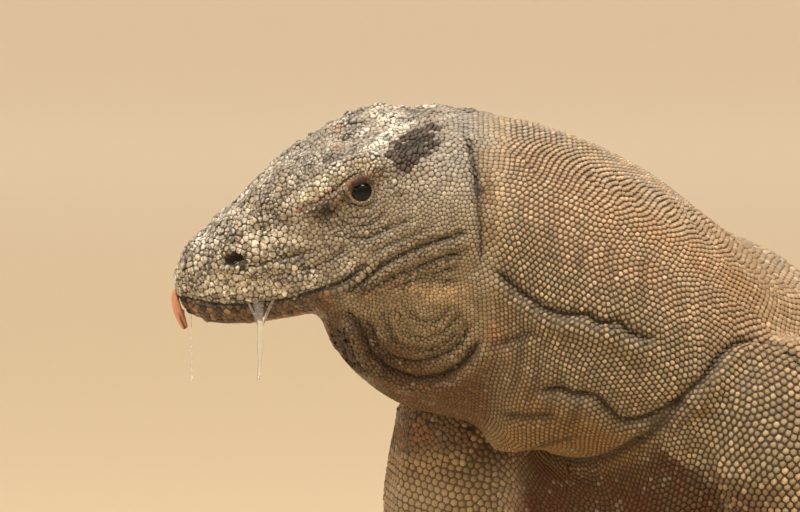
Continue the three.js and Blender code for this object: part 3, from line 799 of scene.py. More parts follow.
LEG_PITCH = 5.1
FOOT_PITCH = 4.3
ROW_STEP = 0.866                    # from row to row, as a share of the pitch
OFF_SKIN = 5.5                      # rows further than this from the skin are left out
CROWDED = 0.52                      # share of its pitch at which a scale is in another's way
LEG_CLEAR = 0.82                    # the same where the rows of the legs meet the body's
SEED_GAP = 2.4                      # rows keep this far from the lips' and lids' own scales
FILL_ROUNDS = 4
FILL_GAP = 2.0                      # the least room that is filled
FILL_AREA = 26                      # square millimetres to each place tried for a filling scale
FILL_SHARE = 0.80                   # how far such a scale keeps off, as a share of its pitch


class RayGrid:
    """A surface seen from a line inside it: how far it is at each station and turn."""

    def __init__(self, tree, stations, frames, reach, turns=96):
        self.stations = stations
        self.turns = np.linspace(-math.pi, math.pi, turns, endpoint=False)
        centre, _, right, up = frames(stations)
        self.radius = np.zeros((len(stations), turns))
        for j, turn in enumerate(self.turns):
            way = right * math.sin(turn) + up * math.cos(turn)
            for i in range(len(stations)):
                hit = tree.ray_cast(Vector(centre[i]), Vector(way[i]), reach)
                self.radius[i, j] = hit[3] if hit[3] is not None else np.nan
        self.mend()
        self.frames = frames
        self.points = self.at_grid(centre, right, up)

    def mend(self):
        """Fills rays that missed from the stations before."""
        for i in range(len(self.stations)):
            lost = np.isnan(self.radius[i])
            if lost.all():
                self.radius[i] = self.radius[i - 1] if i else 1.0
            elif lost.any():
                known = np.where(~lost)[0]
                self.radius[i, lost] = np.interp(np.where(lost)[0], known, self.radius[i, known])

    def at_grid(self, centre, right, up):
        sin, cos = np.sin(self.turns), np.cos(self.turns)
        way = right[:, None] * sin[None, :, None] + up[:, None] * cos[None, :, None]
        return centre[:, None] + way * self.radius[..., None]

    def look_up(self, table, s, turn):
        """A value of a table on the grid, between its points."""
        step = self.stations[1] - self.stations[0]
        u = np.clip((s - self.stations[0]) / step, 0, len(self.stations) - 1.001)
        v = (turn + math.pi) / math.tau * len(self.turns)
        i, j = u.astype(int), np.floor(v).astype(int)
        fu, fv = u - i, v - j
        j0, j1 = j % len(self.turns), (j + 1) % len(self.turns)
        if table.ndim == 3:
            fu, fv = fu[:, None], fv[:, None]
        return ((table[i, j0] * (1 - fv) + table[i, j1] * fv) * (1 - fu)
                + (table[i + 1, j0] * (1 - fv) + table[i + 1, j1] * fv) * fu)

    def rows(self, pitch, first, last, samples=240):
        """Points in rows across the line, each row a hexagon's step after the one before."""
        turn = np.linspace(-math.pi, math.pi, samples, endpoint=False)
        stretch = length(np.gradient(self.points, self.stations, axis=0))
        s = np.full(samples, float(first))
        found = []
        for k in range(900):
            inside = s < last
            if not inside.any():
                break
            at = self.look_up(self.points, s, turn)
            local = pitch(s, turn)
            ahead = np.roll(at, -1, axis=0)
            gap = length(ahead - at) / (0.5 * (local + np.roll(local, -1)))
            run = np.r_[0, np.cumsum(gap)]
            count = max(int(round(run[-1])), 5)
            marks = (np.arange(count) + 0.5 * (k % 2)) / count * run[-1]
            where = np.interp(marks, run, np.arange(samples + 1))
            low = np.floor(where).astype(int) % samples
            share = where - np.floor(where)
            high = (low + 1) % samples
            row_s = s[low] * (1 - share) + s[high] * share
            row_turn = turn[low] + share * (math.tau / samples)
            keep = inside[low]
            found.append(np.stack([row_s[keep], row_turn[keep]], -1))
            advance = ROW_STEP * local / np.maximum(self.look_up(stretch, s, turn), 0.35)
            s = s + advance
            s = 0.5 * s + 0.25 * (np.roll(s, 1) + np.roll(s, -1))
        found = np.concatenate(found)
        return self.look_up(self.points, found[:, 0], found[:, 1])


def leg_gaps(points, leg, step):
    """A leg's line in steps, and each point's distances from the places on it."""
    line = along_path(LEG_LINES[leg], step)
    return line, np.sqrt(((points[:, None] - line[None]) ** 2).sum(2))


def limb_frames(line):
    """Centres and directions at distances along a leg's line."""
    line = along_path(line, SPINE_STEP)
    run = np.r_[0, np.cumsum(length(np.diff(line, axis=0)))]
    tangent = unit(np.gradient(line, axis=0))

    def frames(at):
        at = np.asarray(at, float)
        centre = np.stack([np.interp(at, run, line[:, axis]) for axis in range(3)], -1)
        back = unit(np.stack([np.interp(at, run, tangent[:, axis]) for axis in range(3)], -1))
        ahead = np.array([-0.98, -0.1, 0.1])
        right = unit(ahead - back * dot(back, ahead)[..., None])
        return centre, back, right, np.cross(back, right)

    return frames, run[-1]


def body_grid(whole):
    """The body's surface from its spine, over the shoulders and hips where they stand out."""
    solid = surface_tree(flesh(BODY_NODES + EYE_NODES, SKIN_VOXEL))
    stations = np.arange(1.5, SPINE_END, SPINE_STEP)
    grid = RayGrid(solid, stations, frames_at, 240)
    outer = RayGrid(whole, stations, frames_at, 240).radius
    bulge = (outer > grid.radius) & (outer < 1.25 * grid.radius + 26)
    grid.radius = np.where(bulge, outer, grid.radius)
    centre, _, right, up = frames_at(stations)
    grid.points = grid.at_grid(centre, right, up)
    return grid


def lattice(whole, wanted_pitch):
    """Scales in rows over the body and down each leg, on the skin, and their pitch."""

    def pitch(s, turn):
        return body_pitch(s, np.sin(turn), np.cos(turn))

    places, _, distance = settle_on(whole, body_grid(whole).rows(pitch, 2.0, SPINE_END - 3))
    places = places[distance < OFF_SKIN]
    sizes = wanted_pitch(places)
    keep = thinned(places, sizes, CROWDED)
    places, sizes = places[keep], sizes[keep]
    for leg in LEG_NAMES:
        solid = surface_tree(flesh(LEG_NODES[leg], LIMB_VOXEL))
        frames, reach = limb_frames(LEG_LINES[leg][:3])
        stations = np.arange(0.0, reach - SPINE_STEP, SPINE_STEP)
        limb = RayGrid(solid, stations, frames, 120, 64)
        rows = limb.rows(lambda s, turn: np.full(len(s), LEG_PITCH), 1.0, reach - 16)
        rows, _, distance = settle_on(whole, rows)
        rows = rows[distance < OFF_SKIN]
        size = wanted_pitch(rows)
        free = clearance(rows, places) > LEG_CLEAR * size
        places = np.concatenate([places, rows[free]])
        sizes = np.concatenate([sizes, size[free]])
    keep = thinned(places, sizes, CROWDED)
    return places[keep], sizes[keep]


class Scatter:
    """Random places over the whole skin, to fill what the rows leave bare."""

    def __init__(self, work):
        work.mesh.calc_loop_triangles()
        self.tri = work.points[read(work.mesh.loop_triangles, "vertices", 3, int)]
        area = length(np.cross(self.tri[:, 1] - self.tri[:, 0],
                               self.tri[:, 2] - self.tri[:, 0])) / 2
        self.chance = area / area.sum()
        self.area = area.sum()

    def places(self, count):
        chosen = RANDOM.choice(len(self.tri), count, p=self.chance)
        a, b = RANDOM.random((2, count))
        a, b = np.where(a + b > 1, 1 - a, a), np.where(a + b > 1, 1 - b, b)
        pick = self.tri[chosen]
        found = pick[:, 0] + a[:, None] * (pick[:, 1] - pick[:, 0])
        return found + b[:, None] * (pick[:, 2] - pick[:, 0])


class FoldShade:
    """How deep in a fold of the skin a place is, from 0 to 1: the strength of the shade painted there.
    """

    def __init__(self, work):
        corners = read(work.mesh.loops, "vertex_index", 1, int)[:, 0]
        starts = read(work.mesh.polygons, "loop_start", 1, int)[:, 0]
        counts = np.diff(np.r_[starts, len(corners)])
        self.faces = np.add.reduceat(work.shade[corners], starts) / counts
        self.tree = work.tree

    def __call__(self, points):
        return self.faces[[self.tree.find_nearest(Vector(p))[2] for p in points]]


def crowd(points):
    """A search tree over loose points."""
    tree = KDTree(len(points))
    for i, p in enumerate(points):
        tree.insert(p, i)
    tree.balance()
    return tree


def neighbours(points, count):
    """Indices of the nearest other points, row by row."""
    tree = crowd(points)
    return np.array([[hit[1] for hit in tree.find_n(p, count + 1)] for p in points])[:, 1:]


def spread(points, normals, pitch, fixed, tree, rounds):
    """Pushes crowded scales apart until they lie evenly, and keeps them on the skin."""
    for _ in range(rounds):
        near = neighbours(points, 7)
        q = points[:, None] - points[near]
        distance = length(q)
        reach = 0.58 * (pitch[:, None] + pitch[near])
        force = np.clip(reach - distance, 0, None) / np.maximum(distance, 0.05)
        push = (q * force[..., None]).sum(1) * 0.30
        push -= normals * dot(push, normals)[:, None]
        far = length(push)
        push *= np.minimum(1, 0.32 * pitch / np.maximum(far, 1e-6))[:, None]
        push[fixed] = 0
        points, normals, _ = settle_on(tree, points + push)
    return points, normals


def thinned(points, pitch, share):
    """Which points to keep so that none lies nearer than a share of its pitch to another."""
    near = neighbours(points, 4)
    keep = np.ones(len(points), bool)
    distance = length(points[:, None] - points[near])
    for i in np.where((distance < share * pitch[:, None]).any(1))[0]:
        if keep[i] and any(keep[j] and d < share * pitch[i] for j, d in zip(near[i], distance[i])):
            keep[i] = False
    return keep


def lip_seeds(work):
    """The larger shields along both lips: rows of places and their pitch."""
    rows = []
    for rise, gap in ((3.6, 4.7), (-3.2, 3.9)):
        for side in SIDES.values():
            path = Path(MOUTH, side, work.tree)
            marks = np.arange(gap * 0.5, path.length, gap)
            i = np.searchsorted(path.run, marks).clip(0, len(path.run) - 1)
            across = np.cross(path.normals[i], path.tangents[i]) * side
            rows.append(np.c_[path.points[i] + across * rise, np.full(len(i), gap * 1.04)])
    return rows


def lid_seeds():
    """Rings of small beads round each eye, given likewise."""
    rows = []
    for side in SIDES.values():
        centre, axis = eye_centre(side), eye_axis(side)
        first = unit(np.cross(axis, HEAD_UP))
        second = np.cross(axis, first)
        for angle, size in ((LID_ANGLE + 7, 1.5), (LID_ANGLE + 15, 1.75), (LID_ANGLE + 25, 2.1)):
            reach = EYE_RADIUS + 1.2
            around = math.tau * reach * math.sin(math.radians(angle))
            count = int(around / size)
            turn = np.arange(count) / count * math.tau + angle
            out = (axis * math.cos(math.radians(angle))
                   + math.sin(math.radians(angle)) * (np.cos(turn)[:, None] * first
                                                      + np.sin(turn)[:, None] * second))
            rows.append(np.c_[centre + out * reach, np.full(count, size)])
    return rows


def clearance(points, others):
    """How far each point is from the nearest of the others."""
    tree = crowd(others)
    return np.array([tree.find(p)[2] for p in points])


class Coat:
    """All the scales: where each sits, how it lies, how large it is and how it is marked."""

    def __init__(self, work):
        self.tree = work.tree
        self.shade_at = FoldShade(work)
        loose, pitch = lattice(self.tree, self.wanted_pitch)
        seeds = np.concatenate(lip_seeds(work) + lid_seeds())
        free = clearance(loose, seeds[:, :3]) > SEED_GAP
        self.points = np.concatenate([seeds[:, :3], loose[free]])
        self.pitch = np.concatenate([seeds[:, 3], pitch[free]])
        scatter = Scatter(work)
        for _ in range(FILL_ROUNDS):
            extra = scatter.places(int(scatter.area / FILL_AREA))
            extra = extra[extra[:, 2] > 1.2]
            gap = clearance(extra, self.points)
            extra, gap = extra[gap > FILL_GAP], gap[gap > FILL_GAP]
            wanted = self.wanted_pitch(extra)
            bare = gap > FILL_SHARE * wanted
            extra, wanted = extra[bare], wanted[bare]
            keep = thinned(extra, wanted, FILL_SHARE)
            self.points = np.concatenate([self.points, extra[keep]])
            self.pitch = np.concatenate([self.pitch, wanted[keep]])
        self.unsettle(len(seeds))
        fixed = np.arange(len(self.points)) < len(seeds)
        self.points, self.normals, _ = settle_on(self.tree, self.points)
        self.points, self.normals = spread(self.points, self.normals, self.pitch, fixed,
                                           self.tree, 9)
        self.clear_openings()
        self.body = body_coordinates(self.points)
        self.head = head_coordinates(self.points)
        self.fold = self.shade_at(self.points)
        self.lie = self.lie_of_scales()
        self.near = neighbours(self.points, 9)

    def unsettle(self, first):
        """Uneven sizes and places on the head, where the scales don't run in rows."""
        body = body_coordinates(self.points)
        s = body[:, 0]
        uneven = smooth(205, 150, s) * (1 - self.limb_share(self.points, body))
        uneven[:first] = 0
        crown = 1 - smooth(36, 60, np.degrees(np.abs(np.arctan2(body[:, 1], body[:, 2]))))
        spread_of_pitch = uneven * (0.13 + 0.08 * crown)
        self.pitch *= np.exp(spread_of_pitch * RANDOM.normal(size=len(s)).clip(-2, 2))
        share = (0.04 + uneven * (0.24 + 0.16 * crown)) * self.pitch
        share[:first] = 0
        self.points = self.points + share[:, None] * RANDOM.normal(size=self.points.shape)

    def wanted_pitch(self, points):
        """The pitch that scales have at these places."""
        body = body_coordinates(points)
        pitch = self.face_pitch(points, self.limb_pitch(points, body, body_pitch(*body.T)))
        return pitch * (1 - 0.22 * self.shade_at(points))

    @staticmethod
    def limb_share(points, body):
        """1 on the legs, 0 on the body."""
        share = np.zeros(len(points))
        for leg in LEG_NAMES:
            away = leg_gaps(points, leg, 6.0)[1].min(1)
            lift = 66 if leg == "right_front" else 0
            low = smooth(262 + lift, 214 + lift, points[:, 2])
            share = np.maximum(share, smooth(92, 62, away) * low)
        return share

    def limb_pitch(self, points, body, pitch):
        limb = self.limb_share(points, body)
        leg = blend(LEG_PITCH, FOOT_PITCH, smooth(70, 40, points[:, 2]))
        return blend(pitch, leg - 0.5 * smooth(22, 8, points[:, 2]), limb)

    @staticmethod
    def face_pitch(points, pitch):
        """Finer scales close round the eyes and nostrils."""
        for side in SIDES.values():
            away = length(points - eye_centre(side))
            pitch = blend(pitch, 2.4, smooth(30, 16, away))
            along, up, _, _ = round_nostril(points, side)
            close = smooth(16, 8, np.hypot(along, up * 1.4))
            on_snout = (points - HEAD_ORIGIN) @ HEAD_BACK < 75
            pitch = blend(pitch, 2.9, close * on_snout)
        return pitch

    def clear_openings(self):
        """Leaves the eyes, the nostrils and the line of the mouth bare."""
        bare = np.zeros(len(self.points), bool)
        for side in SIDES.values():
            _, distance, angle = round_eye(self.points, side)
            bare |= (distance < LIDS_REACH) & (angle < LID_ANGLE + 3.5)
            _, _, out, ring = round_nostril(self.points, side)
            bare |= (ring < 1.2) & (np.abs(out) < 14)
        bare |= self.points[:, 2] < 1.3
        for name in ("points", "normals", "pitch"):
            setattr(self, name, getattr(self, name)[~bare])

    def lie_of_scales(self):
        """Towards the tail on the body and down towards the toes on the legs."""
        _, back, _, _ = frames_at(self.body[:, 0])
        share = self.limb_share(self.points, self.body)[:, None]
        down = np.zeros_like(back)
        down[:, 2] = -1
        toe = np.array([-0.98, -0.05, 0.0])
        low = smooth(60, 34, self.points[:, 2])[:, None]
        way = blend(back, blend(down, toe, low), share)
        way = way - self.normals * dot(way, self.normals)[:, None]
        return unit(way)

    def cells(self, sides, chosen, round_off=14.0):
        """Corner distances of each chosen scale, from the lines half way to its neighbours."""
        points, normals = self.points[chosen], self.normals[chosen]
        first, second = self.lie[chosen], np.cross(normals, self.lie[chosen])
        near = self.near[chosen]
        q = self.points[near] - points[:, None]
        x, y = dot(q, first[:, None]), dot(q, second[:, None])
        distance = np.maximum(np.hypot(x, y), 0.2)
        half = distance * self.pitch[chosen][:, None] / (self.pitch[chosen][:, None] + self.pitch[near])
        widest = 0.68 + 0.22 * smooth(230, 190, self.body[chosen, 0])
        cap = (1 / (widest * self.pitch[chosen]))[:, None] ** round_off
        radius, start = np.zeros((len(points), sides)), np.zeros(len(points))
        # Of five ways to turn the outline, the one that fills its cell best is kept.
        for step in range(5):
            turn = (np.arange(sides) + 0.2 * step) / sides * math.tau
            cosine = (x[..., None] * np.cos(turn) + y[..., None] * np.sin(turn)) / distance[..., None]
            push = np.maximum(cosine, 0) / half[..., None]
            reach = ((push ** round_off).sum(1) + cap) ** (-1 / round_off)
            fuller = reach.sum(1) > radius.sum(1)
            radius[fuller], start[fuller] = reach[fuller], 0.2 * step
        turn = (np.arange(sides)[None] + start[:, None]) / sides * math.tau
        return radius, turn, first, second


# ---- Colours of the hide ----

def tone(red, green, blue):
    """A paint colour, given as it looks on a screen, as light."""
    c = np.array([red, green, blue]) / 255
    return np.where(c <= 0.04045, c / 12.92, ((c + 0.055) / 1.055) ** 2.4)


STONE = tone(170, 154, 130)             # the head's own grey-tan
SLATE = tone(156, 147, 136)             # greyer scales on the snout, crown and nape
CREAM = tone(240, 229, 208)             # worn, chalky scales and the brow
SAND = tone(194, 165, 128)              # top of the neck and back
OLIVE = tone(149, 129, 98)              # flanks, throat and shoulders
EARTH = tone(106, 78, 46)               # undersides and folds
RUST = tone(190, 112, 48)
UMBER = tone(72, 50, 32)
BLACK_BROWN = tone(34, 26, 21)
GUM = tone(170, 70, 58)
MOSS = tone(128, 130, 108)
BLUE_GREY = tone(120, 124, 124)


def spots(where, *places):
    """1 in the middle of any of the (station, side, rise, size, strength) places, 0 well away."""
    total = np.zeros(len(where))
    for s, side, rise, size, strength in places:
        q = where - np.array([s, side, rise])
        total = np.maximum(total, strength * np.exp(-dot(q, q) / size ** 2))
    return total


def along(where, knots, width):
    """1 on a line through (station, side, rise) knots, easing to 0 beside it."""
    line = along_path(knots, 2.5)
    near = close_to(line, where, 3 * width)
    share = np.zeros(len(where))
    if len(near):
        away = squared_gaps(where[near], line).min(1)
        share[near] = np.exp(-np.maximum(away, 0) / width ** 2)
    return share


class Markings:
    """The hide's colour, rust, wetness and chalk at given places of skin or scales."""

    def __init__(self, points, body, head):
        self.points, self.body = points, body
        self.limb = Coat.limb_share(points, body)
        s, side, rise = body.T
        s = s + self.limb * np.maximum(430 - s, 0)
        self.station = s
        self.where = np.c_[s, np.abs(side), rise]
        self.turn = np.degrees(np.arctan2(np.abs(side), rise))
        self.broad = wobble(points, 70, 1)
        self.patchy = wobble(points, 22, 2)
        self.close = wobble(points, 8, 3)
        self.colour = np.tile(STONE, (len(points), 1))
        self.rust = np.zeros(len(points))
        self.wet = np.zeros(len(points))
        self.chalk = np.zeros(len(points))
        self.trunk(s)
        self.face(s, head)
        self.throat_and_chest(s)
        self.legs()

    def stain_and_shade(self, share):
        """Rust at least this strong."""
        self.rust = np.maximum(self.rust, share)

    def clean_off(self, share):
        """Takes chalk away."""
        self.chalk *= 1 - share

    def paint(self, colour, share):
        self.colour += (colour - self.colour) * np.clip(share, 0, 1)[:, None]

    def trunk(self, s):
        paint, where, turn, close, patchy = self.paint, self.where, self.turn, self.close, self.patchy
        top = smooth(96, 52, turn)
        neck = smooth(184, 216, s)
        paint(OLIVE, neck)
        paint(SAND, neck * top * (0.85 + 0.2 * patchy))
        paint(SLATE, neck * smooth(50, 18, turn) * (0.22 + 0.4 * patchy))
        low = smooth(112, 150, turn)
        paint(EARTH, neck * low * 0.45)
        back = smooth(430, 700, s)
        paint(tone(124, 110, 92), back * (0.75 + 0.3 * self.broad) * (1 - low))
        paint(tone(150, 134, 108), back * low * 0.7)
        bands = np.sin(s / 34 + 0.6 * self.broad)
        top *= smooth(290, 335, s) * smooth(440, 380, s)
        paint(tone(158, 122, 82), top * 0.45)
        tail = smooth(1150, 1420, s)
        paint(tone(96, 84, 70), tail * (0.45 + 0.25 * bands))
        rust = spots(where, (222, 33, 58, 17, 0.8), (240, 42, 60, 16, 0.9), (257, 52, 60, 19, 1.0),
                     (278, 60, 58, 20, 1.0), (302, 69, 56, 24, 1.0), (330, 80, 54, 26, 0.95),
                     (258, 69, 36, 15, 0.75), (234, 57, 44, 14, 0.7), (282, 76, 38, 17, 0.7),
                     (306, 88, 30, 17, 0.5), (352, 88, 40, 30, 0.7), (385, 88, 44, 40, 0.45))
        rust = np.maximum(rust, 0.4 * back * smooth(0.1, 0.7, self.broad) * (1 - low))
        self.rust = rust * (0.75 + 0.45 * patchy + 0.25 * close)

    def face(self, s, head):
        paint, where, turn, close, patchy = self.paint, self.where, self.turn, self.close, self.patchy
        face = smooth(205, 180, s)
        crown = smooth(70, 34, turn)
        paint(SLATE, face * (0.25 + 0.5 * crown) * (0.55 + 0.5 * patchy))
        self.chalk = face * np.clip(0.42 + 0.5 * patchy + 0.4 * close, 0, 0.9)
        self.clean_off(0.85 * smooth(108, 136, s) * smooth(38, 54, turn))
        self.clean_off(0.7 * smooth(150, 174, s))
        snout = smooth(96, 62, s)
        self.chalk = np.maximum(self.chalk, snout * smooth(112, 96, turn)
                                * (0.62 + 0.3 * close))
        cheek = smooth(132, 158, s) * smooth(50, 74, turn) * smooth(200, 186, s)
        paint(tone(152, 134, 107), cheek * 0.9)
        self.clean_off(0.75 * cheek)
        jowl = smooth(96, 124, s) * smooth(76, 92, turn) * smooth(200, 186, s)
        paint(tone(152, 133, 105), jowl * 0.9)
        self.clean_off(0.7 * jowl)
        brow = along(where, [(88, 36, 45.5), (100.8, 39, 51.5), (110.1, 41, 55.8),
                             (119.7, 43, 59.2), (128.5, 44.5, 60.8), (137, 45, 60.6),
                             (143, 44.5, 59)], 5.4)
        crest = along(where, [(134, 34, 67), (137, 27, 68), (140.5, 16, 67), (144, 6, 66),
                              (149, 0, 65)], 5.0)
        # The brow, and more faintly the crest, are painted near white at full strength: partly their
        # pale scales, partly painted light as on a sunlit ridge. Less chalk on the brow leaves fewer
        # dark worn patches there.
        paint(tone(255, 243, 216), np.maximum(brow, 0.8 * crest) * (1.15 + 0.2 * close))
        self.chalk += (0.85 - self.chalk) * 0.7 * crest
        self.chalk += (0.4 - self.chalk) * brow
        # The brow's lower edge is painted orange-brown and rusty: partly its own colour, partly painted
        # shade under the ridge.
        under = along(where, [(86, 34.5, 41.5), (101, 39.3, 47), (109.4, 41, 50.6),
                              (118, 42.5, 53.8), (126, 44, 55.7), (137, 45.3, 56)], 1.9)
        self.stain_and_shade(under)
        paint(tone(138, 84, 42), under)
        # Painted shade in the hollow in front of the eye: darker brown, with its chalk taken off.
        hollow = spots(where, (94, 38, 37, 8, 0.5), (101, 40.5, 40, 8, 0.65),
                       (108, 42.5, 43, 7, 0.7), (114, 44, 46, 5, 0.6))
        paint(tone(120, 96, 68), hollow)
        self.clean_off(hollow)
        lids = spots(where, (130, 41, 50, 12.5, 1.0), (147, 49, 44, 11, 0.75))
        paint(tone(112, 90, 67), 0.6 * lids * (1 - brow))
        wrinkles = spots(where, (122, 46, 28, 13, 1.0), (134, 49, 36, 10, 1.0))
        self.clean_off(0.8 * wrinkles)
        paint(RUST * 0.6, spots(where, (114, 16, 66, 3.2, 1.0)))
        temple = spots(where, (144.5, 38, 62.5, 5, 1.0), (148.5, 42.5, 60, 6, 1.0),
                       (150, 33, 64, 7, 1.0), (154, 41, 59.5, 7, 1.0), (157, 28, 64, 8, 1.0),
                       (160, 37, 61, 7, 1.0), (163, 20, 64, 7, 1.0), (165, 29, 62, 6, 0.95),
                       (166, 8, 63.5, 7, 0.95), (153, 45, 55.5, 5, 0.8), (147, 27, 65, 6, 1.0),
                       (153, 18, 64.5, 7, 1.0), (158, 9, 63.5, 7, 1.0), (162, 1, 63, 5, 0.9))
        temple *= np.where(self.body[:, 1] > 0, 0.35, 1)
        self.temple = smooth(0.40, 0.62, temple * (1 + 0.16 * close))
        paint(tone(74, 61, 52), self.temple * (0.92 + 0.12 * close))
        self.clean_off(self.temple)
        # Umber at the rear of the brow's lower edge: painted shade under the ridge, partly its own
        # colour.
        paint(UMBER, spots(where, (146, 46, 56, 5, 0.8), (140, 44.5, 57, 4.5, 1.0)))
        behind = along(where, [(194, 34, 55), (197, 48, 44), (199, 58, 31), (201, 66, 12)], 4.5)
        paint(tone(130, 104, 68), behind * 0.8)
        self.stain_and_shade(behind * 0.25)
        # Painted shade: the ear's crease is painted umber, and its opening a black-brown spot.
        ear = along(where, [(184.4, 21, 60), (188.3, 33.5, 54), (191.3, 46.6, 46),
                            (192.8, 54.3, 36.3), (193.9, 61, 26), (194.9, 65.5, 15)], 1.5)
        paint(UMBER, ear * 0.7)
        paint(BLACK_BROWN, spots(where, (192.3, 53, 38, 3.2, 1.0)))
        scar = along(where, [(148, 60, -22), (163, 63, -23.5), (178, 66, -24)], 6.5)
        paint(tone(248, 212, 168), scar * (1.1 + 0.3 * close))
        self.stain_and_shade(scar * 0.22)
        # The scar and the brow take no painted shade from the folds.
        self.clean = np.maximum(scar, brow)
        paint(MOSS, spots(where, (92, 41, -12, 8, 0.8), (100, 44, -10, 7, 0.7)))
        corner = along(where, [(94, 41, -22), (103, 44, -21), (110, 46, -19), (127, 52, -14),
                               (140, 57, -11)], 3.0)
        self.stain_and_shade(corner * 0.6 * smooth(100, 112, s))
        jaw = smooth(106, 88, s) * smooth(0.5, -2.0, where[:, 2] - MOUTH_RISE(s))
        paint(tone(98, 68, 38), jaw * (0.95 + 0.1 * close))
        paint(BLACK_BROWN, jaw * smooth(0.15, 0.55, close + 0.4 * patchy) * 0.75)
        paint(tone(176, 134, 84), jaw * smooth(0.3, 0.8, -close + 0.3 * patchy) * 0.4)
        rim = jaw * smooth(-22, -26, head[:, 2]) * smooth(84, 74, s)
        paint(tone(166, 102, 58), rim * 0.6)
        self.chalk *= (1 - jaw) * (1 - self.limb)
        self.clean_off(0.9 * smooth(86, 104, s) * smooth(88, 104, turn))
        mouth = [(station, -side, rise) for station, side, rise in MOUTH]
        self.wet = np.maximum(jaw, 0.8 * along(where, mouth, 3.5) * smooth(100, 86, s))
        # Painted shade: the line where the lips meet is painted black-brown.
        lip = along(where, mouth, 1.7)
        paint(BLACK_BROWN, lip * 0.8)

    def throat_and_chest(self, s):
        paint, where, turn, patchy = self.paint, self.where, self.turn, self.patchy
        throat = smooth(84, 108, s) * smooth(236, 200, s) * smooth(96, 118, turn)
        paint(OLIVE, throat * 0.9)
        # The underside of the throat is painted darker brown: partly its own colour, partly painted
        # shade.
        low = throat * smooth(128, 152, turn)
        paint(tone(100, 70, 38), low * 0.9)
        paint(tone(150, 100, 58), low * smooth(0.35, 0.8, patchy) * 0.35)
        # Painted shade: the front of the throat, under the jaw, is painted dark brown, over its own
        # brown.
        front = spots(where, (92, 37, -33, 9, 1.0), (90, 32, -46, 12, 1.0),
                      (104, 34, -44, 16, 1.0), (98, 24, -66, 16, 1.0), (112, 28, -62, 20, 1.0))
        paint(tone(84, 54, 22), front)
        self.rust *= 1 - front
        gular = smooth(224, 250, s) * smooth(372, 345, s) * smooth(120, 140, turn)
        paint(tone(148, 113, 66), gular * 0.8)
        # Painted shade: the chest, under the overhang of the gular fold, is painted very dark brown,
        # over its own brown.
        chest = smooth(314, 326, s) * smooth(520, 430, s)
        chest *= smooth(104 + 21.999 * smooth(350, 330, s), 126, turn)
        paint(tone(72, 40, 8), chest * (0.92 + 0.15 * patchy))
        self.stain_and_shade(chest * (0.2 + 0.25 * patchy))
        pink = spots(where, (212, 66, -50, 9, 0.8))
        paint(tone(190, 134, 100), pink * 0.7)
        shoulder = smooth(345, 372, s) * smooth(520, 450, s) * smooth(70, 88, turn)
        paint(tone(146, 124, 94), shoulder * smooth(124, 108, turn) * 0.85)

    def legs(self):
        self.paint(tone(172, 149, 115), self.limb * (0.9 + 0.1 * self.patchy))
        self.paint(tone(86, 70, 54), self.limb * smooth(120, 30, self.points[:, 2]) * 0.6)
        self.rust *= 1 - 0.7 * self.limb


# ---- Finishes ----

class Value:
    """A shader socket whose sums and products are Math nodes."""

    def __init__(self, finish, socket):
        self.finish, self.socket = finish, socket

    def worked(self, operation, first, second):
        return self.finish.node("ShaderNodeMath", {"operation": operation}, {0: first, 1: second})

    def __add__(self, other):
        return self.worked("ADD", self, other)

    def __sub__(self, other):
        return self.worked("SUBTRACT", self, other)

    def __rsub__(self, other):
        return self.worked("SUBTRACT", other, self)

    def __mul__(self, other):
        return self.worked("MULTIPLY", self, other)

    __radd__ = __add__
    __rmul__ = __mul__


class Finish:
    """A material and the means to wire its nodes."""

    def __init__(self, name, roughness=0.6):
        self.material = bpy.data.materials.new(name)
        self.material.use_nodes = True
        self.tree = self.material.node_tree
        self.surface = self.tree.nodes["Principled BSDF"]
        self.surface.inputs["Roughness"].default_value = roughness

    def node(self, kind, settings=None, sockets=None, outlet=0):
        node = self.tree.nodes.new(kind)
        for name, value in (settings or {}).items():
            setattr(node, name, value)
        for name, value in (sockets or {}).items():
            self.feed(node.inputs[name], value)
        return Value(self, node.outputs[outlet])

    def feed(self, socket, value):
        if isinstance(value, Value):
            self.tree.links.new(value.socket, socket)
        else:
            socket.default_value = value

    def set(self, **values):
        """Uniform values straight on the shader's own sockets."""
        for name, value in values.items():
            self.surface.inputs[name.replace("_", " ")].default_value = value

    def drive(self, name, value):
        self.feed(self.surface.inputs[name], value)

    def attribute(self, name, outlet=2):
        return self.node("ShaderNodeAttribute", {"attribute_name": name}, outlet=outlet)

    def place(self):
        return self.node("ShaderNodeTexCoord", outlet=3)

    def noise(self, scale, detail=2.0, roughness=0.55, place=None):
        return self.node("ShaderNodeTexNoise", {}, {
            "Vector": place or self.place(), "Scale": scale, "Detail": detail,
            "Roughness": roughness})

    def ease(self, value, low, high, bottom=0.0, top=1.0):
        return self.node("ShaderNodeMapRange", {"interpolation_type": "SMOOTHSTEP"}, {
            0: value, 1: low, 2: high, 3: bottom, 4: top})

    def mix(self, share, first, second):
        first, second = (c if isinstance(c, Value) else (*c, 1) for c in (first, second))
        return self.node("ShaderNodeMix", {"data_type": "RGBA"},
                         {0: share, 6: first, 7: second}, outlet=2)

    def bump(self, height, distance, strength=1.0):
        self.drive("Normal", self.node("ShaderNodeBump", {}, {
            "Height": height, "Distance": distance, "Strength": strength}))


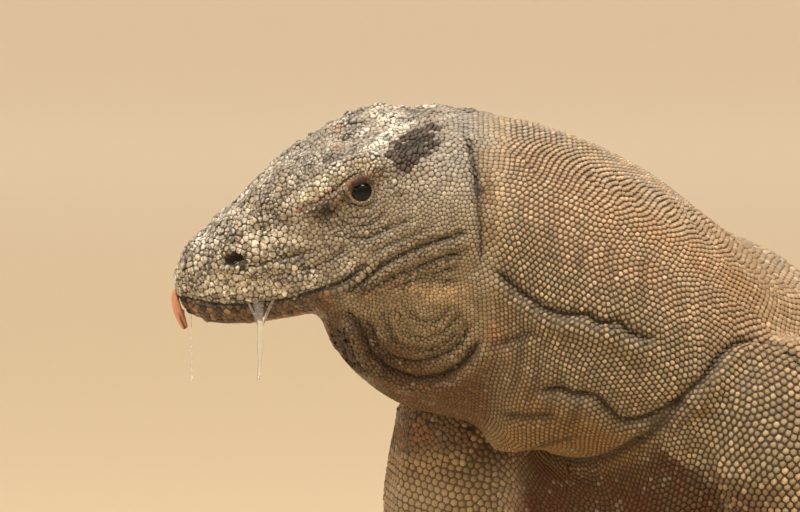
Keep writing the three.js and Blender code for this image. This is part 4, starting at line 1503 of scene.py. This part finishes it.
def scale_finish():
    """Horny scales: chalky crowns, dark or rusty furrows, wet on the lower jaw."""
    finish = Finish("scaly_hide")
    place = finish.place()
    edge, rust, wet = (finish.attribute(name) for name in ("edge", "rust", "wet"))
    grain = finish.noise(1500, 3.0, 0.6, place)
    fleck = finish.noise(520, 2.0, 0.6, place)
    colour = finish.attribute("tone", outlet=0)
    blotch = finish.noise(240, 3.0, 0.65, place)
    worn = finish.noise(88, 5.0, 0.72, place)
    colour = finish.mix(finish.ease(grain, 0.36, 0.60, 0.34, 0.0), colour, (0.060, 0.038, 0.020))
    colour = finish.mix(finish.ease(worn, 0.50, 0.46) * finish.attribute("chalk") * 1.1,
                        colour, (0.105, 0.080, 0.060))
    colour = finish.mix(finish.ease(blotch, 0.50, 0.43) * (finish.attribute("chalk") * 0.5 + 0.12),
                        colour, (0.065, 0.045, 0.028))
    chalk = finish.ease(fleck, 0.50, 0.60) * 0.7 + finish.ease(worn, 0.54, 0.60)
    colour = finish.mix(chalk * (1 - edge) * finish.attribute("chalk") * 0.85, colour, CREAM)
    # The furrow round each scale's root is painted near black, rust brown where rusty: partly the dark
    # skin between the scales, partly painted shade in the grooves.
    furrow = finish.ease(edge, 0.12, 0.95)
    stain_and_shade = furrow * 0.55 + finish.ease(fleck, 0.42, 0.60) * 0.45
    colour = finish.mix(stain_and_shade * rust * 0.85, colour, RUST * 0.7)
    depths = finish.mix(rust, (0.034, 0.018, 0.007), (0.120, 0.038, 0.008))
    colour = finish.mix(furrow * 0.85, colour, depths)
    finish.drive("Base Color", colour)
    finish.drive("Roughness", 0.66 - wet * 0.36 + grain * 0.12)
    finish.bump(grain * 0.5 + fleck * 0.5, 0.0004, 0.8)
    finish.set(Specular_IOR_Level=0.35)
    return finish.material


def skin_finish():
    """Bare hide between the scales, with painted shade darkest in the folds."""
    finish = Finish("bare_hide")
    place = finish.place()
    fold, rust, wet = (finish.attribute(name) for name in ("fold", "rust", "wet"))
    grain = finish.noise(1300, 3.0, 0.6, place)
    colour = finish.attribute("tone", outlet=0)
    colour = finish.mix(grain * rust * 0.7, colour, RUST * 0.45)
    # Painted shade: near black where the fold attribute is high.
    colour = finish.mix(fold * 0.75, colour, (0.014, 0.008, 0.004))
    colour = finish.mix(finish.ease(grain, 0.4, 0.7, 0.35, 0.0), colour, (0.026, 0.014, 0.006))
    finish.drive("Base Color", colour)
    finish.drive("Roughness", 0.72 - wet * 0.5)
    finish.bump(grain, 0.0003, 0.8)
    return finish.material


def eye_finish():
    """A dark brown eye, almost black, under a clear wet front."""
    finish = Finish("eye", roughness=0.1)
    ring = finish.attribute("iris")
    streaks = finish.noise(900, 2.0)
    iris = finish.mix(streaks, (0.008, 0.005, 0.004), (0.020, 0.012, 0.007))
    colour = finish.mix(finish.ease(ring, 0.88, 0.93), iris, (0.002, 0.002, 0.003))
    finish.drive("Base Color", finish.mix(finish.ease(ring, 0.60, 0.70, 1.0, 0.0), colour,
                                          (0.012, 0.010, 0.009)))
    finish.set(Coat_Weight=0.6, Coat_Roughness=0.02, Coat_IOR=1.37, IOR=1.30,
               Specular_IOR_Level=0.15)
    return finish.material


def claw_finish():
    """Dark horn, streaked along its length and worn pale at the tips."""
    finish = Finish("claw_horn", roughness=0.38)
    streak = finish.noise(160, 3.0)
    speck = finish.noise(900, 2.0)
    worn = finish.attribute("worn")
    colour = finish.mix(streak, (0.020, 0.015, 0.012), (0.085, 0.062, 0.044))
    colour = finish.mix(worn * finish.ease(speck, 0.3, 0.7, 0.3, 0.9), colour, (0.20, 0.155, 0.11))
    finish.drive("Base Color", colour)
    finish.drive("Roughness", speck * 0.25 + 0.30)
    finish.bump(streak * 0.7 + speck * 0.3, 0.0004, 0.6)
    return finish.material


def tongue_finish():
    """Wet salmon flesh, darker in the groove between the tips."""
    finish = Finish("tongue_flesh", roughness=0.25)
    speck = finish.noise(1100, 2.0)
    groove = finish.attribute("groove")
    colour = finish.mix(speck, (0.50, 0.20, 0.11), (0.62, 0.28, 0.17))
    # Painted shade: darker in the groove between the tips.
    finish.drive("Base Color", finish.mix(groove, colour, (0.14, 0.035, 0.018)))
    finish.drive("Roughness", speck * 0.2 + 0.25)
    finish.bump(speck, 0.0002, 0.5)
    finish.set(Coat_Weight=0.6, Coat_Roughness=0.08, Subsurface_Weight=0.15,
               Subsurface_Scale=0.002)
    return finish.material


def saliva_finish():
    """Clear, faintly cloudy spit."""
    finish = Finish("saliva", roughness=0.04)
    cloud = finish.noise(420, 2.0)
    finish.drive("Base Color", finish.mix(cloud, (0.90, 0.88, 0.84), (1.0, 1.0, 1.0)))
    finish.drive("Roughness", cloud * 0.12)
    finish.set(Transmission_Weight=0.92, IOR=1.36, Coat_Weight=0.5, Coat_Roughness=0.02)
    return finish.material


# ---- The coat of scales ----

STRIPS = 9
STATION_TO_U = Curve((0, 0.01), (345, 0.42), (1180, 0.75), (2525, 0.97))
PATCH = 0.003                       # width of a scale's own patch on the OFBake map
ROOT_DEPTH = 0.55                   # how far a scale's root lies under the skin

# Rings of a scale from the root up: share of its radius, share of its height, and how near its
# edge. The first lies under the skin.
FINE_RINGS = [(1.05, None, 1.0), (0.96, 0.66, 0.36), (0.82, 0.98, 0.0)]
PLATE_RINGS = [(1.05, None, 1.0), (0.91, 0.82, 0.15)]
BEAD_RINGS = [(1.02, None, 1.0), (0.64, 0.84, 0.06)]
PLAIN_RINGS = [(1.02, None, 1.0), (0.76, 0.84, 0.10)]
# Sides and rings of the scales on the muzzle, the head, the neck and the rest, and the stations
# where one kind gives way to the next.
KINDS = [(8, FINE_RINGS), (7, PLATE_RINGS), (7, BEAD_RINGS), (6, PLAIN_RINGS)]
KIND_ENDS = [70, 208, 345]


class Growth:
    """How high each scale stands, how far it leans back, and its tint: its own, darkened by painted
    shade in the folds.
    """

    def __init__(self, coat):
        marks = Markings(coat.points, coat.body, coat.head)
        s, turn = marks.station, marks.turn
        count = len(s)
        low = smooth(104, 140, turn)
        share = 0.16 - 0.02 * smooth(100, 140, s)
        crown = smooth(58, 24, turn) * smooth(200, 170, s)
        share = share + 0.24 * crown * RANDOM.random(count)
        neck = smooth(196, 222, s)
        nape = smooth(50, 24, turn) * smooth(460, 360, s)
        share = blend(share, 0.34 + 0.12 * nape - 0.10 * low, neck)
        share = blend(share, 0.25 - 0.12 * low, smooth(345, 400, s))
        share = blend(share, 0.42, marks.temple)
        share = share * (0.88 + 0.24 * RANDOM.random(count))
        jaw = marks.wet * 0.5
        fold = coat.fold * (1 - marks.clean)
        self.height = coat.pitch * share * (1 - jaw) * (1 - 0.4 * fold)
        limb = marks.limb
        self.height *= 1 - 0.25 * limb
        lean = 0.10 + (0.30 + 0.25 * nape) * neck * (1 - low) + 0.5 * marks.temple
        self.lean = lean * (1 - 0.6 * limb)
        tint = RANDOM.normal(size=count)
        mood = np.clip(0.9 * wobble(coat.points, 11, 11) + 0.32 * RANDOM.normal(size=count), -2, 2)
        face = smooth(205, 178, s)
        snout = smooth(100, 64, s)
        spread_of_tint = 0.10 + 0.04 * face + 0.03 * snout
        # Painted shade: scales in the folds are darker.
        self.tint = np.exp(spread_of_tint * tint) * (1 - 0.72 * fold)
        pale = smooth(0.55, 1.2, mood) * (0.16 + 0.45 * face * marks.chalk + 0.20 * snout * face)
        pale = pale * (1 - marks.temple) * (1 - marks.wet)
        marks.paint(CREAM, pale)
        dark = smooth(0.7, 1.3, -mood) * (0.15 + 0.35 * face + 0.15 * neck * (1 - low))
        marks.paint(tone(104, 90, 76), dark * (1 - marks.temple))
        marks.paint(tone(206, 176, 140), neck * (1 - low) * smooth(0.2, 1.4, tint) * 0.45)
        self.marks = marks


def strip_numbers(coat, weight):
    """Each scale's turn round the body, and by it its lengthwise strip of the coat."""
    turn = np.arctan2(coat.body[:, 1], coat.body[:, 2])
    order = turn.argsort(kind="stable")
    run = np.cumsum(weight[order])
    number = np.zeros(len(turn), int)
    number[order] = np.minimum((run / run[-1] * STRIPS).astype(int), STRIPS - 1)
    return turn, number


def leg_unwrap(points):
    """How far down its leg and round it each place is, and which leg it is on."""
    best = np.full(len(points), 1e9)
    u, v = np.zeros(len(points)), np.zeros(len(points))
    for number, leg in enumerate(LEG_NAMES):
        line, away = leg_gaps(points, leg, 3.0)
        i = away.argmin(1)
        nearer = away.min(1) < best
        best = np.minimum(best, away.min(1))
        q = points - line[i]
        turn = np.arctan2(q[:, 1], -q[:, 0] + 0.001)
        down = i / len(line) + np.clip(-q[:, 0] / 400, -0.05, 0.25) * (points[:, 2] < 60)
        u = np.where(nearer, 0.02 + 0.24 * number + 0.19 * np.clip(down, 0, 1.2) / 1.2, u)
        v = np.where(nearer, 0.83 + 0.14 * (turn / math.tau + 0.5), v)
    return u, v


class ScaleMesh:
    """Many scales as one mesh, built up in arrays because there are so many."""

    def __init__(self, coat, growth):
        self.coat, self.growth = coat, growth
        self.parts = []

    def add(self, chosen, sides, rings, roots):
        coat, growth = self.coat, self.growth
        if not len(chosen):
            return
        radius, turn, first, second = coat.cells(sides, chosen)
        height = growth.height[chosen][:, None]
        lean = growth.lean[chosen][:, None]
        root = coat.points[chosen]
        normal = coat.normals[chosen]
        reach = radius.mean(1)[:, None]
        cos, sin = np.cos(turn), np.sin(turn)
        even = np.arange(sides) / sides * math.tau
        levels, edges, maps = [], [], []
        for share, rise, edge in rings:
            along_lie, across = radius * share * cos, radius * share * sin
            if rise is None:
                up = np.full_like(along_lie, -ROOT_DEPTH)
            else:
                up = height * (rise + lean * 0.9 * along_lie / reach)
                along_lie = along_lie + lean * reach * 0.28 * rise
            levels.append(root[:, None] + along_lie[..., None] * first[:, None]
                          + across[..., None] * second[:, None] + up[..., None] * normal[:, None])
            edges.append(np.full(sides, edge))
            maps.append(np.stack([share * np.cos(even), share * np.sin(even)], -1))
        shift = lean * reach * 0.34
        tip = root + shift * first + height * (1 + lean * 0.2) * normal
        places = np.concatenate(levels + [tip[:, None]], axis=1)
        edge = np.concatenate(edges + [[0.0]])
        flat = np.concatenate(maps + [[[0.0, 0.0]]])
        self.parts.append((chosen, places, edge, flat, self.faces(sides, len(rings)), roots[chosen]))

    @staticmethod
    def faces(sides, rings):
        """The corners of one scale's faces: its root, its walls and its crown."""
        around = [(j, (j + 1) % sides) for j in range(sides)]
        found = [list(range(sides))[::-1]]
        for ring in range(rings - 1):
            base = ring * sides
            found += [[base + a, base + b, base + sides + b, base + sides + a] for a, b in around]
        last, tip = (rings - 1) * sides, rings * sides
        found += [[last + a, last + b, tip] for a, b in around]
        return found

    def finish(self, name):
        places, corners, sizes, edges, charts, owners = [], [], [], [], [], []
        base = 0
        for chosen, where, edge, flat, faces, roots in self.parts:
            count, each = where.shape[:2]
            places.append(where.reshape(-1, 3))
            pattern = np.concatenate(faces)
            corner = base + np.arange(count)[:, None] * each + pattern[None]
            corners.append(corner.ravel())
            sizes.append(np.tile([len(face) for face in faces], count))
            edges.append(np.tile(edge, count))
            chart = roots[:, None] + flat[pattern][None] * (PATCH / 2)
            charts.append(chart.reshape(-1, 2))
            owners.append(np.repeat(chosen, each))
            base += count * each
        places, corners, sizes = map(np.concatenate, (places, corners, sizes))
        mesh = bpy.data.meshes.new(name)
        mesh.vertices.add(len(places))
        mesh.vertices.foreach_set("co", (places * MM).astype(np.float32).ravel())
        mesh.loops.add(len(corners))
        mesh.loops.foreach_set("vertex_index", corners.astype(np.int32))
        mesh.polygons.add(len(sizes))
        starts = np.r_[0, np.cumsum(sizes)[:-1]]
        mesh.polygons.foreach_set("loop_start", starts.astype(np.int32))
        rounded_faces(mesh)
        mesh.update()
        chart = mesh.uv_layers.new(name="OFBake")
        chart.data.foreach_set("uv", np.concatenate(charts).astype(np.float32).ravel())
        self.mark(mesh, np.concatenate(owners), np.concatenate(edges))
        return mesh

    def mark(self, mesh, owner, edge):
        marks, growth = self.growth.marks, self.growth
        colour = np.clip(marks.colour * growth.tint[:, None], 0.004, 0.92)[owner]
        store(mesh, "tone", colour)
        store(mesh, "edge", edge)
        for name in ("rust", "wet", "chalk"):
            store(mesh, name, np.clip(getattr(marks, name), 0, 1)[owner])


def build_coat(work):
    """The scales in strips that run the length of the body, each its own piece."""
    coat = Coat(work)
    growth = Growth(coat)
    s = coat.body[:, 0]
    limb = growth.marks.limb > 0.5
    kind = np.where(limb, len(KINDS) - 1, np.searchsorted(KIND_ENDS, s, "right"))
    triangles = np.array([2 * sides * len(rings) - 2 for sides, rings in KINDS])
    turn, number = strip_numbers(coat, triangles[kind])
    leg_u, leg_v = leg_unwrap(coat.points)
    material = scale_finish()
    for strip in range(STRIPS):
        mine = number == strip
        low, high = turn[mine].min(), turn[mine].max()
        share = (turn - low) / max(high - low, 1e-6)
        roots = np.where(limb[:, None], np.c_[leg_u, leg_v],
                         np.c_[STATION_TO_U(s), 0.02 + 0.77 * share])
        builder = ScaleMesh(coat, growth)
        for which, (sides, rings) in enumerate(KINDS):
            builder.add(np.where(mine & (kind == which))[0], sides, rings, roots)
        name = f"scales_{strip + 1}"
        settle_piece(name, builder.finish(name), "hide", material)


# ---- The other pieces ----

def settle_piece(name, mesh, slot, material, *nodes):
    """Hangs a finished piece on the body and lets it stand for CAD nodes."""
    mesh.materials.clear()
    mesh.materials.append(material)
    rounded_faces(mesh)
    piece = link(name, mesh)
    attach(piece, "root")
    if nodes:
        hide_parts(*nodes)


def build_hide(work):
    """The skin as a piece, with its markings and its folds' shade."""
    mesh = work.mesh
    body, head = body_coordinates(work.points), head_coordinates(work.points)
    marks = Markings(work.points, body, head)
    # Painted shade in the folds, kept as the fold attribute for the bare skin's colour.
    fold = work.shade * 0.8
    # The skin between the scales is painted at about a fifth to a third of the scales' brightness:
    # partly its darker colour, partly painted shade between and under the scales.
    dim = 0.34 - 0.14 * smooth(215, 180, body[:, 0]) * (1 - marks.limb)
    dim += 0.20 * marks.wet
    for side in SIDES.values():
        q, distance, angle = round_eye(work.points, side)
        near = (distance < 17) & (angle < 60)
        lid = near * smooth(LID_ANGLE + 14, LID_ANGLE + 8, angle)
        marks.paint(tone(62, 48, 36), lid)
        rim = near * bell(angle - (LID_ANGLE + 3.0), 2.4)
        marks.paint(BLUE_GREY * 0.7, rim)
        corner = near * bell(angle - (LID_ANGLE + 6.0), 3.4)
        front = q @ HEAD_BACK < -2.5
        above = q @ HEAD_UP > 5.5
        under = (q @ HEAD_UP < -6) & (q @ HEAD_BACK < 2)
        marks.paint(tone(196, 136, 66), corner * (0.9 * front + 0.5 * above + 0.4 * under))
        dim = np.maximum(dim, 0.8 * lid)
        fold = fold * (1 - lid)
        _, up, out, ring = round_nostril(work.points, side)
        # Painted shade: the nostril's opening is painted near black.
        mouth = smooth(1.15, 0.85, ring) * (np.abs(out) < 16)
        fold = np.maximum(fold, mouth)
        halo = bell(ring - 1.3, 0.25) * (np.abs(out) < 12) * (up > 0)
        marks.rust = np.maximum(marks.rust, halo)
        dim = np.maximum(dim, 0.7 * halo)
    gum = along(marks.where, [(45, 27.6, -12.4), (53, 29.4, -12.8), (61, 31.2, -13)], 1.5)
    marks.paint(GUM, gum)
    dim = np.maximum(dim, 0.9 * gum)
    fold = fold * (1 - gum)
    colour = np.clip(marks.colour * dim[:, None], 0.003, 0.9)
    store(mesh, "tone", colour)
    store(mesh, "fold", np.clip(fold, 0, 1))
    store(mesh, "rust", np.clip(marks.rust, 0, 1))
    store(mesh, "wet", np.clip(np.maximum(marks.wet, gum), 0, 1))
    flesh_nodes = BODY_NODES + sum(LEG_NODES.values(), [])
    settle_piece("skin", mesh, "hide", skin_finish(), *flesh_nodes)


def build_eye(name, side, material):
    """An eyeball with a bulging clear front."""
    centre, axis = eye_centre(side), eye_axis(side)
    shape = bmesh.new()
    bmesh.ops.create_uvsphere(shape, u_segments=56, v_segments=40, radius=(EYE_RADIUS - 0.1) * MM)
    face_way(shape, shape.verts, axis)
    front = [vert.co.normalized().dot(Vector(axis)) for vert in shape.verts]
    for vert, cosine in zip(shape.verts, front):
        vert.co += Vector(axis) * 0.5 * MM * float(smooth(0.80, 0.98, cosine))
    bmesh.ops.translate(shape, vec=Vector(centre * MM), verts=shape.verts)
    mesh = as_mesh(shape, f"{name}ball")
    store(mesh, "iris", front)
    settle_piece(f"{name}ball", mesh, "eye", material, name)


def smoothed(name, levels):
    """A CAD node's mesh with its subdivision applied."""
    return modified(as_mesh(copied(name), name + "_copy"),
                    SUBSURF={"levels": levels, "render_levels": levels})


def grown_claw(name):
    """A claw with growth rings at its root, worn at its tip."""
    mesh = smoothed(name, 2)
    points = positions(mesh)
    q = points - points.mean(0)
    lengthwise = np.linalg.svd(q, full_matrices=False)[2][0]
    run = q @ lengthwise
    girth = length(np.cross(q, lengthwise))
    root, tip = np.histogram(run, 2, weights=girth)[0]
    toward = run if root > tip else -run
    toward = (toward - toward.min()) / max(np.ptp(toward), 1e-6)
    rings = 0.22 * np.sin(toward * 60) * smooth(0.7, 0.35, toward)
    set_positions(mesh, points + vertex_normals(mesh) * rings[:, None])
    store(mesh, "worn", smooth(0.45, 1.0, toward))
    return mesh


def build_claws(material):
    """The five claws of each foot as one piece."""
    for leg in LEG_NAMES:
        names = [f"{leg}_claw_{i}" for i in range(1, 6)]
        mesh = joined([grown_claw(name) for name in names], f"{leg}_claws")
        settle_piece(f"{leg}_claws", mesh, "claw", material, *names)


def build_tongue():
    """The tip of the tongue, hanging over the lip, with a groove down its middle."""
    mesh = smoothed("tongue", 3)
    points = positions(mesh)
    head = head_coordinates(points)
    low = head[:, 2]
    reach = smooth(-12, -18, low)
    middle = 0.3 + 0.9 * smooth(-17, -26, low)
    outer = smooth(0.2, 0.6, np.abs(vertex_normals(mesh) @ HEAD_RIGHT))
    groove = bell(head[:, 0] - middle, 0.75) * reach * outer
    out = vertex_normals(mesh) * (0.45 - 0.8 * groove)[:, None]
    set_positions(mesh, points + out)
    store(mesh, "groove", groove)
    settle_piece("tongue_tip", mesh, "tongue", tongue_finish(), "tongue")


def strand(shape, path, radii, sides=12):
    """A closed drip of spit along a path, by extruding a ring."""
    path, radii = np.asarray(path, float), np.asarray(radii, float)
    ways = unit(np.gradient(path, axis=0))
    ring = bmesh.ops.create_circle(shape, segments=sides, radius=radii[0] * MM)["verts"]
    face_way(shape, ring, ways[0])
    bmesh.ops.translate(shape, vec=Vector(path[0] * MM), verts=ring)
    edges = list({edge for vert in ring for edge in vert.link_edges})
    bmesh.ops.contextual_create(shape, geom=edges)
    for i in range(1, len(path)):
        made = bmesh.ops.extrude_edge_only(shape, edges=edges)["geom"]
        ring = [item for item in made if isinstance(item, bmesh.types.BMVert)]
        edges = [item for item in made if isinstance(item, bmesh.types.BMEdge)
                 and all(vert in ring for vert in item.verts)]
        centre = Vector(path[i - 1] * MM)
        bend = Vector(ways[i - 1]).rotation_difference(Vector(ways[i])).to_matrix()
        bmesh.ops.rotate(shape, cent=centre, matrix=bend, verts=ring)
        size = radii[i] / radii[i - 1]
        for vert in ring:
            vert.co = centre + (vert.co - centre) * size
        bmesh.ops.translate(shape, vec=Vector((path[i] - path[i - 1]) * MM), verts=ring)
    bmesh.ops.contextual_create(shape, geom=edges)


def hang(start, drop, sway=0.0, steps=15):
    """Places down a plumb line from a start, drifting sideways a little."""
    fall = np.linspace(0, 1, steps)[:, None]
    drift = sway * (fall ** 2) * HEAD_BACK * np.array([1, 1, 0])
    return start + drift + fall * drop * np.array([0, 0, -1.0])


SPIT_VOXEL = 0.28


def pooled(shape):
    """Strands run together into one closed, softened surface."""
    bmesh.ops.recalc_face_normals(shape, faces=shape.faces)
    return modified(as_mesh(shape, "strands"), REMESH={"mode": "VOXEL", "voxel_size": SPIT_VOXEL * MM},
                    SMOOTH={"factor": 0.5, "iterations": 6})


def build_saliva(tree):
    """Two strands of spit: a thick one from a film on the lip, and a thin one by the tongue."""
    material = saliva_finish()

    def on_lip(back, side, up, out=0.9):
        point, normal, _ = settle_on(tree, [on_head(back, side, up)])
        return point[0] + out * normal[0]

    shape = bmesh.new()
    lip = on_lip(52.6, -29.6, -9.5)
    low = lip + np.array([0, 0, -15.5]) + 0.8 * unit(lip - on_head(54, 0, -9.5))
    main = np.concatenate([along_path([lip, (lip + low) / 2 + 0.2, low], 1.6)[:-1],
                           hang(low, 31, -1.0, 22)])
    knots = Curve((0, 2.4), (0.16, 1.8), (0.32, 2.1), (0.50, 2.15), (0.66, 1.5), (0.78, 1.0),
                  (0.88, 1.1), (0.95, 1.4), (1, 0.6))
    strand(shape, main, knots(np.linspace(0, 1, len(main))))
    for back, side, up, size in ((45, -28, -9.3, 0.8), (61, -31.6, -9.6, 1.0), (49, -29, -9.4, 1.2)):
        start = on_lip(back, side, up, 0.5)
        path = along_path([start, start * 0.55 + low * 0.45 + 0.3, low + np.array([0, 0, -1.0])], 1.2)
        strand(shape, path, np.full(len(path), size))
    settle_piece("saliva_thick", pooled(shape), "saliva", material, "saliva_1")

    shape = bmesh.new()
    start = on_lip(6.2, -9, -15.5, 0.3)
    path = hang(start, 41, 0.6, 40)
    run = np.linspace(0, 1, 40)
    beads = 0.50 + 0.26 * np.sin(run * 27) ** 2 + 0.5 * bell(run - 0.98, 0.025)
    strand(shape, path, beads)
    settle_piece("saliva_thin", pooled(shape), "saliva", material, "saliva_2")


# ---- Camera, lights and floor ----

CAMERA_AT = (-3.4975, -2.6215, 0.5930)
CAMERA_AIM = (-1.0446, 0.0090, 0.4360)
LENS = 265.6


def aimed(thing, at, aim):
    """A camera or a light, put at a place and turned to another."""
    thing.location = at
    thing.rotation_euler = (Vector(aim) - Vector(at)).to_track_quat("-Z", "Y").to_euler()
    return thing


def build_camera():
    data = bpy.data.cameras.new("camera")
    data.lens = LENS
    data.sensor_width = 36
    data.clip_end = 300
    bpy.context.scene.camera = aimed(link("camera", data), CAMERA_AT, CAMERA_AIM)


def area_light(name, at, aim, size, power, colour):
    data = bpy.data.lights.new(name, "AREA")
    data.shape = "DISK"
    data.size = size
    data.energy = power
    data.color = colour
    aimed(link(name, data), at, aim)


def build_backdrop():
    """A pale floor that curves up into a wall all round, spun from its profile."""
    profile = [(0.0, 0.0), (30.0, 0.0), (36.0, 0.3), (41.0, 1.6), (45.0, 4.5), (47.5, 9.5),
               (48.5, 16.0), (48.5, 29.0)]
    shape = bmesh.new()
    points = [shape.verts.new((x, 0, z)) for x, z in profile]
    edges = [shape.edges.new(pair) for pair in zip(points, points[1:])]
    bmesh.ops.spin(shape, geom=points + edges, cent=(0, 0, 0), axis=(0, 0, 1),
                   angle=math.tau, steps=72, use_merge=True)
    bmesh.ops.remove_doubles(shape, verts=shape.verts, dist=1e-4)
    bmesh.ops.recalc_face_normals(shape, faces=shape.faces)
    bmesh.ops.reverse_faces(shape, faces=shape.faces)
    mesh = as_mesh(shape, "floor")
    rounded_faces(mesh)
    finish = Finish("pale_floor", roughness=0.95)
    finish.set(Specular_IOR_Level=0.1)
    # Painted shade: the floor is darker round the place under the overhead light, holding back its pool
    # of light there, and paler far off.
    away = finish.node("ShaderNodeVectorMath", {"operation": "DISTANCE"},
                       {0: finish.place(), 1: (-1.9, -1.2, 0)}, outlet=1)
    near = finish.mix(finish.ease(away, 1.0, 4.8), (0.64, 0.52, 0.36), (0.77, 0.60, 0.39))
    finish.drive("Base Color", finish.mix(finish.ease(away, 6, 22), near, (0.84, 0.69, 0.50)))
    mesh.materials.append(finish.material)
    link("floor", mesh)


def build_studio():
    """An even, slightly warm sky with one broad soft light overhead and one ahead."""
    build_backdrop()
    world = bpy.data.worlds.new("sky")
    bpy.context.scene.world = world
    world.use_nodes = True
    sky = world.node_tree.nodes["Background"]
    sky.inputs["Color"].default_value = (1.0, 0.97, 0.92, 1)
    sky.inputs["Strength"].default_value = 1.0
    area_light("overhead", (-1.9, -1.5, 3.4), (-0.95, -0.05, 0.4), 1.7, 105, (1.0, 0.98, 0.94))
    area_light("ahead", (-3.9, 0.3, 1.9), (-1.0, 0, 0.42), 1.2, 32, (1.0, 0.97, 0.92))
    bpy.context.scene.view_settings.view_transform = "Standard"


# ---- Putting it together ----

work = build_skin()
build_coat(work)
build_hide(work)
eye_material = eye_finish()
build_eye("left_eye", -1, eye_material)
build_eye("right_eye", 1, eye_material)
build_claws(claw_finish())
build_tongue()
build_saliva(work.tree)
build_camera()
build_studio()
